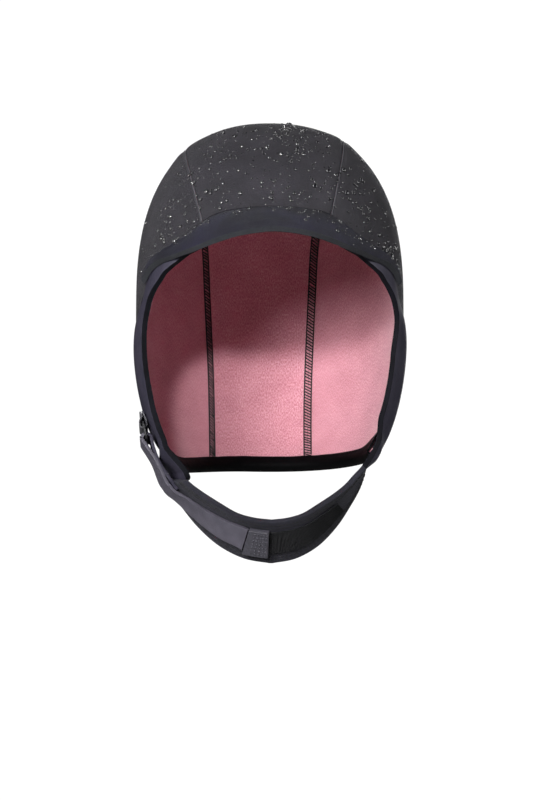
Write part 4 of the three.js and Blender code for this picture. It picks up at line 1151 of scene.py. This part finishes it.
def build_strap(cap, looks):
    """The strap, the ribbed patch on it and its rows of stitches."""
    across = shares(16)
    starts = [-1 + mix(STRAP_END_FRONT, STRAP_END_BACK, place) for place in across]
    rows = strap_lines(starts, 1 + SEAM_GAP / STRAP_HALF_SPAN, 110, across, 0)
    mesh = sheet_mesh("strap_outer", rows, away_from=CENTRE)
    piece = add_piece("strap_outer", mesh, [looks["strap"]], ["chin_strap"])
    give_wall(piece, STRAP_WALL, 0.8, segments=3)

    across = [mix(PATCH_FRONT, PATCH_BACK, u) for u in shares(10)]
    lines = RIB_COUNT * RIB_LINES
    rows = strap_lines([PATCH_FROM] * len(across), PATCH_TO, lines, across, LAYER_GAP + PATCH_WALL)
    for i, row in enumerate(rows):
        lift = RIB_HEIGHT * math.cos(i / RIB_LINES * 2 * math.pi)
        _, normal = surface_frame(strap_point, mix(PATCH_FROM, PATCH_TO, i / lines), 0.5)
        row[:] = [point + normal * (lift - RIB_HEIGHT) for point in row]
    mesh = sheet_mesh("loop_ribs", rows, away_from=CENTRE)
    piece = add_piece("loop_ribs", mesh, [looks["loop"]], ["loop_patch"], smooth_angle=70)
    give_wall(piece, PATCH_WALL - 2 * RIB_HEIGHT, 0.2)

    runs = []
    pitch = cap.topstitch_pitch / MM / STRAP_HALF_LENGTH
    for across in STITCH_ROWS:
        along = STITCH_FROM
        while along < STITCH_TO:
            run = []
            for share, rise in STITCH_SHAPE:
                point, normal = surface_frame(strap_point, along + pitch * share, across)
                run.append(point + normal * rise)
            runs.append(run)
            along += pitch
    mesh = thread_mesh("strap_stitches", runs, STITCH_RADIUS)
    add_piece("strap_stitches", mesh, [looks["thread"]], smooth_angle=0)


def build_buckle(looks):
    """The ring, the webbing loop that holds it, and the tongue through it."""
    buckle = Buckle()
    mesh = sheet_mesh("ring_loop", ring_lines(buckle), closed=True)
    add_piece("ring_loop", mesh, [looks["ring"]], ["strap_ring"], smooth_angle=60)
    mesh = sheet_mesh("keeper_fold", spline_rows(widen(keeper_lines(buckle), 6), 60))
    piece = add_piece("keeper_fold", mesh, [looks["keeper"]], ["ring_keeper"])
    give_wall(piece, KEEPER_WALL, 0.2, offset=0)
    mesh = sheet_mesh("tongue_strip", spline_rows(widen(tongue_lines(buckle), 8), 200))
    # painted shade: the back run of the tongue takes the band's near-black rubber in place of its own grey
    # webbing
    places = mesh.uv_layers["surface"].data
    painted_shade_length = PAINTED_SHADE_RUN * max(place.uv.y for place in places)
    for polygon in mesh.polygons:
        polygon.material_index = 1 if places[polygon.loop_indices[0]].uv.y < painted_shade_length else 0
    faces = [looks["tongue"], looks["band"]]
    piece = add_piece("tongue_strip", mesh, faces, ["strap_tongue"])
    give_wall(piece, TONGUE_WALL, 0.45, offset=0)


def build_tab(looks):
    """The pull tab and the grip dots on its face."""
    raise_by = 2 * LAYER_GAP + STRIP_CLEARANCE + PATCH_WALL + TAB_WALL / 2
    rows = [on_strap(mix(TAB_FROM, TAB_TO, u), TAB_ACROSS, raise_by, TAB_WIDTH) for u in shares(24)]
    mesh = sheet_mesh("tab_body", widen(rows, 20))
    piece = add_piece("tab_body", mesh, [looks["tab"]], ["pull_tab"])
    give_wall(piece, TAB_WALL, 0.8, offset=0, segments=3)
    bm = bmesh.new()
    top = raise_by + TAB_WALL / 2
    reach = TAB_WIDTH / (strap_point(TAB_FROM, 0) - strap_point(TAB_FROM, 1)).length / 2
    flat = Matrix.Diagonal((1, 1, GRIP_FLATNESS, 1))
    for row in shares(GRIP_ROWS - 1):
        along = mix(TAB_FROM, TAB_TO, mix(GRIP_FROM, GRIP_TO, row))
        for column in shares(GRIP_COLUMNS - 1):
            across = TAB_ACROSS + reach * GRIP_SHARE * (2 * column - 1)
            point, normal = surface_frame(strap_point, along, across)
            seat = seat_on(point + normal * top, normal)
            bmesh.ops.create_icosphere(bm, subdivisions=2, radius=GRIP_RADIUS * MM, matrix=seat @ flat)
    add_piece("tab_grip", mesh_from(bm, "tab_grip"), [looks["tab"]], smooth_angle=0)


# Where beads of water gather on the crown: millimetres across, spread, angle over the head, spread, share
CROWN_BEADS = (
    (1, 11, 54, 6, 0.10), (-16, 12, 44, 7, 0.09), (14, 12, 40, 7, 0.11), (-54, 7, 30, 7, 0.10),
    (-62, 6, 17, 9, 0.08), (-32, 9, 40, 9, 0.06), (2, 20, 25, 2.5, 0.08), (36, 9, 29, 6, 0.07),
    (54, 8, 30, 9, 0.08), (64, 6, 14, 8, 0.10), (0, 36, 40, 15, 0.13),
)
# and on the peak: place along its edge, spread, share of its depth, spread, share
PEAK_BEADS = ((-0.2, 0.1, 0.2, 0.12, 0.3), (0.02, 0.12, 0.1, 0.1, 0.25), (0.2, 0.1, 0.45, 0.2, 0.45))
# share of the beads that lie on the peak, beads in a cluster, and its reach in millimetres and in degrees
PEAK_SHARE, CLUSTER_COUNT, CLUSTER_REACH, CLUSTER_TURN = 0.14, 3, 4.5, 3.2
BEAD_REACH, BEAD_CLEARANCE, BEAD_MARGIN = 0.97, 1.2, 0.01
# bead sizes: lean and spread of their logarithm, smallest and largest as shares of a middling one
BEAD_LEAN, BEAD_SPREAD, BEAD_LEAST, BEAD_MOST = -0.2, 0.55, 0.35, 2.2
BEADS_AT_ONCE = 48


def bead_meshes(places, chance, middle_radius):
    """Flattened drops seated on a surface, made a few dozen at a time so that each step stays short."""
    parts = []
    for first in range(0, len(places), BEADS_AT_ONCE):
        bm = bmesh.new()
        for point, normal in places[first:first + BEADS_AT_ONCE]:
            scale = chance.lognormvariate(BEAD_LEAN, BEAD_SPREAD)
            radius = min(max(scale, BEAD_LEAST), BEAD_MOST) * middle_radius
            long = Matrix.Diagonal((1, mix(0.8, 1.2, chance.random()), 0.7, 1))
            turn = Matrix.Rotation(chance.random() * math.pi, 4, "Z")
            seat = seat_on(point, normal) @ turn @ long
            bmesh.ops.create_uvsphere(bm, u_segments=8, v_segments=6, radius=radius, matrix=seat)
        parts.append(mesh_from(bm, "bead_part"))
    return parts


def crown_bead_places(chance, count):
    """Points and normals of the beads on the crown, in small clusters."""
    places = []
    for across, spread, angle, turn, part in CROWN_BEADS:
        for i in range(round(count * part)):
            if i % CLUSTER_COUNT == 0:
                cluster = (chance.gauss(across, spread), chance.gauss(angle, turn))
            x = chance.gauss(cluster[0], CLUSTER_REACH)
            over = chance.gauss(cluster[1], CLUSTER_TURN)
            if abs(x) > BEAD_REACH * HALF_WIDTH:
                continue
            point = over_head(x, over)
            if point.z < brow_level(point) + BEAD_CLEARANCE:
                continue
            seam_distance = abs(abs(x - SEAM_SHIFT) - seam_half(over))
            places.append((layer_point(point, seam_distance, 0), form_normal(point)))
    return places


def peak_bead_places(chance, count):
    """Points and normals of the beads on the peak's upper face."""
    places = []
    lines = peak_lines()
    last, end = len(lines) - 1, PEAK_EDGE[-1][0]
    for along, spread, deep, depth_spread, part in PEAK_BEADS:
        for _ in range(round(count * PEAK_SHARE * part)):
            held = min(max(chance.gauss(along, spread), BEAD_MARGIN - end), end - BEAD_MARGIN)
            line = (held / end + 1) / 2 * last
            column = min(max(chance.gauss(deep, depth_spread), 0.04), 0.9) * PEAK_STEPS
            i, j = min(int(line), last - 1), min(int(column), PEAK_STEPS - 1)
            first, second = lines[i], lines[i + 1]
            a = first[j].lerp(first[j + 1], column - j)
            b = second[j].lerp(second[j + 1], column - j)
            normal = (second[j] - first[j]).cross(first[j + 1] - first[j]).normalized()
            if normal.z < 0:
                normal.negate()
            places.append((a.lerp(b, line - i), normal))
    return places


def build_beads(cap, looks):
    """The beads of water on the crown and the peak, as one piece."""
    chance = random.Random(cap.bead_seed)
    places = crown_bead_places(chance, cap.bead_count) + peak_bead_places(chance, cap.bead_count)
    bm = bmesh.new()
    for part in bead_meshes(places, chance, cap.bead_size):
        bm.from_mesh(part)
        bpy.data.meshes.remove(part)
    add_piece("water_beads", mesh_from(bm, "water_beads"), [looks["water"]], smooth_angle=0)


def make_looks(cap):
    """A material for each finish, in the colours of the settings."""
    crown = shades(cap.crown_colour, CROWN_COLOUR, ("242226", "2b292e", "343137"))
    peak = shades(cap.peak_colour, PEAK_COLOUR, ("0c0b15", "12111f", "1e1c30"))
    strap = shades(cap.strap_colour, STRAP_COLOUR, ("1d1c24", "24232c", "2d2c36"))
    lining = shades(cap.lining_colour, LINING_COLOUR, ("a9606f", "ca8996", "e6b9c2"))
    band = shades(cap.band_colour, BAND_COLOUR, ("282633", "35323f"))
    return {
        "crown": jersey_neoprene("nylon_jersey_neoprene_charcoal", *crown, 0.66, 0.14),
        "peak": jersey_neoprene("nylon_jersey_neoprene_navy", *peak, 0.62, 0.12),
        "foam_edge": jersey_neoprene("cut_neoprene_edge", "26272b", "2a2b2f", "303135", 0.85, 0.05),
        "band": skin_neoprene("smooth_skin_neoprene", *band, 0.6, 0.02),
        "band_rim": skin_neoprene("cut_skin_neoprene", "0a0a0e", "111117", 0.8, 0.0, 0.1),
        "lining": heather_fleece("melange_fleece", *lining),
        "binding": skin_neoprene("glued_rubber_binding", "010102", "030304", 0.7, 0.0, 0.06),
        "strap": jersey_neoprene("nylon_jersey_strap", *strap, 0.72, 0.08),
        "loop": loop_pile("nylon_loop_pile"),
        "tongue": coated_webbing("coated_webbing_grey", "403d47", "4e4b56"),
        "keeper": coated_webbing("coated_webbing_keeper", "37363b", "4b4a50"),
        "tab": moulded_rubber("moulded_rubber_tab", "333138", "45444d", 0.5),
        # painted shade: the ring's near-black colour stands for the shade it sits in; the ring itself is a
        # mid grey
        "ring": moulded_rubber("moulded_acetal_ring", "0e0e11", "17171b", 0.5),
        "thread": sewing_thread("bonded_nylon_thread", "040405", "0d0d10", 0.7),
        "seam_line": sewing_thread("blind_seam_glue_line", "403e43", "4b494f", 0.7),
        "water": water_with_painted_shade("water_with_painted_shade"),
    }


MADE_LOOKS = {}


def looks_of(cap):
    """The materials for the chosen colours, made once for each choice."""
    chosen = (cap.crown_colour, cap.peak_colour, cap.strap_colour, cap.lining_colour, cap.band_colour)
    choice = tuple(tuple(colour) for colour in chosen)
    if choice not in MADE_LOOKS:
        MADE_LOOKS[choice] = make_looks(cap)
    return MADE_LOOKS[choice]


# Stage

TARGET = Vector((0, 0, -121.3))
VIEW_AZIMUTH, VIEW_ELEVATION, VIEW_DISTANCE = -1.5, -10.0, 1400.0
PIXELS_PER_MM = 1.75
FRAME_WIDTH, FRAME_HEIGHT = 533, 800
TARGET_PIXEL = (269.5, 344.5)
SENSOR_HEIGHT = 36
# metres
FLOOR_REACH, FLOOR_LEVEL = 1.2, -0.46
LAMP_TARGET = Vector((0, 0, -0.12))
# what the camera sees of the floor besides its paint
FLOOR_GLOW, FLOOR_GLOW_SHARE = (0.82, 0.82, 0.82, 1), 0.7
# name, place in metres, disk size, spread in degrees, share of the key power
STAGE_LAMPS = [
    ("key_wide", (-0.67, -1.32, -0.04), 0.4, 40, 0.56),
    ("key_small", (-0.25, -1.44, 0.11), 0.12, 40, 0.44),
    ("top", (-0.25, -0.3, 1.4), 0.8, 60, 0.36),
    ("left", (-1.38, -0.2, 0.12), 0.6, 60, 0.7),
    ("right", (1.38, -0.15, 0.12), 0.6, 60, 0.75),
    ("back", (0.15, 1.45, 0.35), 0.9, 60, 0.7),
]


def place_camera(scene):
    """The photograph's view, from the front and a little below the cap."""
    azimuth, elevation = math.radians(VIEW_AZIMUTH), math.radians(VIEW_ELEVATION)
    level_way = math.cos(elevation)
    ahead = Vector((-math.sin(azimuth) * level_way, math.cos(azimuth) * level_way, -math.sin(elevation)))
    lens = bpy.data.cameras.new("camera")
    camera = bpy.data.objects.new("camera", lens)
    scene.collection.objects.link(camera)
    camera.location = (TARGET - ahead * VIEW_DISTANCE) * MM
    camera.rotation_euler = ahead.to_track_quat("-Z", "Y").to_euler()
    lens.sensor_fit = "VERTICAL"
    lens.sensor_height = SENSOR_HEIGHT
    lens.lens = PIXELS_PER_MM * VIEW_DISTANCE / FRAME_HEIGHT * SENSOR_HEIGHT
    lens.shift_x = (FRAME_WIDTH / 2 - TARGET_PIXEL[0]) / FRAME_HEIGHT
    lens.shift_y = (TARGET_PIXEL[1] - FRAME_HEIGHT / 2) / FRAME_HEIGHT
    lens.clip_start = 0.05
    lens.clip_end = 50
    scene.camera = camera


def lay_floor(scene):
    """A plain painted floor. It looks pale to the camera and still throws little light up into the cap."""
    bm = bmesh.new()
    bmesh.ops.create_grid(bm, x_segments=1, y_segments=1, size=FLOOR_REACH)
    bmesh.ops.translate(bm, vec=(0, 0, FLOOR_LEVEL), verts=bm.verts)
    mesh = mesh_from(bm, "floor")
    floor = bpy.data.objects.new("floor", mesh)
    scene.collection.objects.link(floor)
    material, tree, shader = new_material("painted_floor")
    cloud = speckle(tree, object_place(tree, 400))
    tree.links.new(ramp(tree, cloud, [(0.3, "dcdcdc"), (0.7, "e2e2e2")]), shader.inputs["Base Color"])
    shader.inputs["Roughness"].default_value = 0.9
    path = add_node(tree, "ShaderNodeLightPath")
    sockets = {0: path.outputs["Is Camera Ray"], 1: FLOOR_GLOW_SHARE}
    seen = add_node(tree, "ShaderNodeMath", sockets, operation="MULTIPLY")
    pale = add_node(tree, "ShaderNodeEmission", {"Color": FLOOR_GLOW, "Strength": 1.0})
    both = add_node(tree, "ShaderNodeMixShader", {
        0: seen.outputs[0], 1: shader.outputs[0], 2: pale.outputs[0],
    })
    output = next(node for node in tree.nodes if node.type == "OUTPUT_MATERIAL")
    tree.links.new(both.outputs[0], output.inputs["Surface"])
    mesh.materials.append(material)


def light_room(scene, strength):
    """A white room that gives a little even light."""
    world = bpy.data.worlds.new("studio")
    scene.world = world
    world.use_nodes = True
    tree = world.node_tree
    tree.nodes.clear()
    path = add_node(tree, "ShaderNodeLightPath")
    glow = add_node(tree, "ShaderNodeBackground", {"Color": (1, 1, 1, 1), "Strength": strength})
    plain = add_node(tree, "ShaderNodeBackground", {"Color": (1, 1, 1, 1), "Strength": 1.05})
    both = add_node(tree, "ShaderNodeMixShader", {
        0: path.outputs["Is Camera Ray"], 1: glow.outputs[0], 2: plain.outputs[0],
    })
    add_node(tree, "ShaderNodeOutputWorld", {"Surface": both.outputs[0]})


def hang_lamps(scene, key_power):
    """Soft round lamps about the cap, narrow enough to leave the floor and the inside of the crown dark."""
    for name, place, size, spread, part in STAGE_LAMPS:
        lamp = bpy.data.lights.new(name, "AREA")
        lamp.shape = "DISK"
        lamp.size = size
        lamp.spread = math.radians(spread)
        lamp.energy = key_power * part
        holder = bpy.data.objects.new(name, lamp)
        holder.location = place
        holder.rotation_euler = (LAMP_TARGET - Vector(place)).to_track_quat("-Z", "Y").to_euler()
        scene.collection.objects.link(holder)


def build_stage(cap):
    """The camera, the floor and the light."""
    scene = bpy.context.scene
    scene.view_settings.view_transform = "Standard"
    scene.view_settings.look = "None"
    place_camera(scene)
    lay_floor(scene)
    light_room(scene, cap.fill_strength)
    hang_lamps(scene, cap.key_power)


def colour_setting(name, description, code):
    """A colour of the panel that starts from an sRGB hex value."""
    return FloatVectorProperty(name=name, description=description, default=linear(code)[:3], size=3,
                               min=0, max=1, subtype="COLOR")


def length_setting(name, description, millimetres):
    """A length of the panel."""
    return FloatProperty(name=name, description=description, default=millimetres * MM, min=0,
                         unit="LENGTH", subtype="DISTANCE")


class SurfCapSettings(bpy.types.PropertyGroup):
    """Colours and sizes that a user would change."""

    crown_colour: colour_setting("Crown", "Usual shade of the crown's jersey", CROWN_COLOUR)
    peak_colour: colour_setting("Peak", "Usual shade of the peak's jersey", PEAK_COLOUR)
    lining_colour: colour_setting("Lining", "Usual shade of the heathered fleece", LINING_COLOUR)
    band_colour: colour_setting("Face band", "Lightest shade of the smooth band", BAND_COLOUR)
    strap_colour: colour_setting("Chin strap", "Usual shade of the strap's jersey", STRAP_COLOUR)
    flatlock_width: length_setting("Flat seam width", "Between the outer threads of a lining seam", 4.4)
    flatlock_pitch: length_setting("Flat seam pitch", "Between two cross threads of a lining seam", 1.9)
    topstitch_pitch: length_setting("Strap stitch pitch", "Length of one stitch on the strap", 2.6)
    bead_size: length_setting("Bead size", "Radius of a middling bead of water", 0.64)
    bead_count: IntProperty(name="Beads", description="How many beads of water lie on the cap", default=820)
    bead_seed: IntProperty(name="Bead seed", description="Which pattern the beads make", default=4)
    key_power: FloatProperty(name="Key light", description="Power that the lamps share", default=1.7,
                             unit="POWER")
    fill_strength: FloatProperty(name="Room light", description="Strength of the even room light",
                                 default=0.006, subtype="FACTOR")


class SURFCAP_OT_crown(bpy.types.Operator):
    """Make the three crown panels and their seam lines"""
    bl_idname = "surfcap.crown"
    bl_label = "Crown"
    bl_options = {"REGISTER", "UNDO"}

    def execute(self, context):
        build_crown(looks_of(context.scene.surf_cap))
        return {"FINISHED"}


class SURFCAP_OT_lining(bpy.types.Operator):
    """Make the fleece lining and its flat seams"""
    bl_idname = "surfcap.lining"
    bl_label = "Lining"
    bl_options = {"REGISTER", "UNDO"}

    def execute(self, context):
        cap = context.scene.surf_cap
        build_lining(cap, looks_of(cap))
        return {"FINISHED"}


class SURFCAP_OT_band(bpy.types.Operator):
    """Make the band round the face with its cheek flaps"""
    bl_idname = "surfcap.band"
    bl_label = "Face band"
    bl_options = {"REGISTER", "UNDO"}

    def execute(self, context):
        build_band(looks_of(context.scene.surf_cap))
        return {"FINISHED"}


class SURFCAP_OT_peak(bpy.types.Operator):
    """Make the soft peak"""
    bl_idname = "surfcap.peak"
    bl_label = "Peak"
    bl_options = {"REGISTER", "UNDO"}

    def execute(self, context):
        build_peak(looks_of(context.scene.surf_cap))
        return {"FINISHED"}


class SURFCAP_OT_nape(bpy.types.Operator):
    """Make the binding of the nape hem"""
    bl_idname = "surfcap.nape"
    bl_label = "Nape binding"
    bl_options = {"REGISTER", "UNDO"}

    def execute(self, context):
        build_nape(looks_of(context.scene.surf_cap))
        return {"FINISHED"}


class SURFCAP_OT_strap(bpy.types.Operator):
    """Make the chin strap, its loop patch and its stitches"""
    bl_idname = "surfcap.strap"
    bl_label = "Chin strap"
    bl_options = {"REGISTER", "UNDO"}

    def execute(self, context):
        cap = context.scene.surf_cap
        build_strap(cap, looks_of(cap))
        return {"FINISHED"}


class SURFCAP_OT_buckle(bpy.types.Operator):
    """Make the ring, its keeper and the tongue"""
    bl_idname = "surfcap.buckle"
    bl_label = "Ring and tongue"
    bl_options = {"REGISTER", "UNDO"}

    def execute(self, context):
        build_buckle(looks_of(context.scene.surf_cap))
        return {"FINISHED"}


class SURFCAP_OT_tab(bpy.types.Operator):
    """Make the pull tab with its grip"""
    bl_idname = "surfcap.tab"
    bl_label = "Pull tab"
    bl_options = {"REGISTER", "UNDO"}

    def execute(self, context):
        build_tab(looks_of(context.scene.surf_cap))
        return {"FINISHED"}


class SURFCAP_OT_beads(bpy.types.Operator):
    """Make the beads of water on the crown"""
    bl_idname = "surfcap.beads"
    bl_label = "Water beads"
    bl_options = {"REGISTER", "UNDO"}

    def execute(self, context):
        cap = context.scene.surf_cap
        build_beads(cap, looks_of(cap))
        return {"FINISHED"}


class SURFCAP_OT_stage(bpy.types.Operator):
    """Make the floor, the lights and the camera"""
    bl_idname = "surfcap.stage"
    bl_label = "Stage"
    bl_options = {"REGISTER", "UNDO"}

    def execute(self, context):
        build_stage(context.scene.surf_cap)
        return {"FINISHED"}


OPERATORS = (
    SURFCAP_OT_stage, SURFCAP_OT_crown, SURFCAP_OT_lining, SURFCAP_OT_band, SURFCAP_OT_peak, SURFCAP_OT_nape,
    SURFCAP_OT_strap, SURFCAP_OT_buckle, SURFCAP_OT_tab, SURFCAP_OT_beads,
)


class SURFCAP_PT_panel(bpy.types.Panel):
    """Lists the cap's settings and makers"""
    bl_idname = "SURFCAP_PT_panel"
    bl_label = "Surf cap"
    bl_space_type = "VIEW_3D"
    bl_region_type = "UI"
    bl_category = "Surf cap"

    def draw(self, context):
        cap = context.scene.surf_cap
        for name in SurfCapSettings.__annotations__:
            self.layout.prop(cap, name)
        for operator in OPERATORS:
            self.layout.operator(operator.bl_idname)


def register():
    for item in (SurfCapSettings, *OPERATORS, SURFCAP_PT_panel):
        bpy.utils.register_class(item)
    bpy.types.Scene.surf_cap = PointerProperty(type=SurfCapSettings)


def unregister():
    del bpy.types.Scene.surf_cap
    for item in reversed((SurfCapSettings, *OPERATORS, SURFCAP_PT_panel)):
        bpy.utils.unregister_class(item)


def main():
    register()
    for operator in OPERATORS:
        group, name = operator.bl_idname.split(".")
        getattr(getattr(bpy.ops, group), name)()


if __name__ == "__main__":
    main()
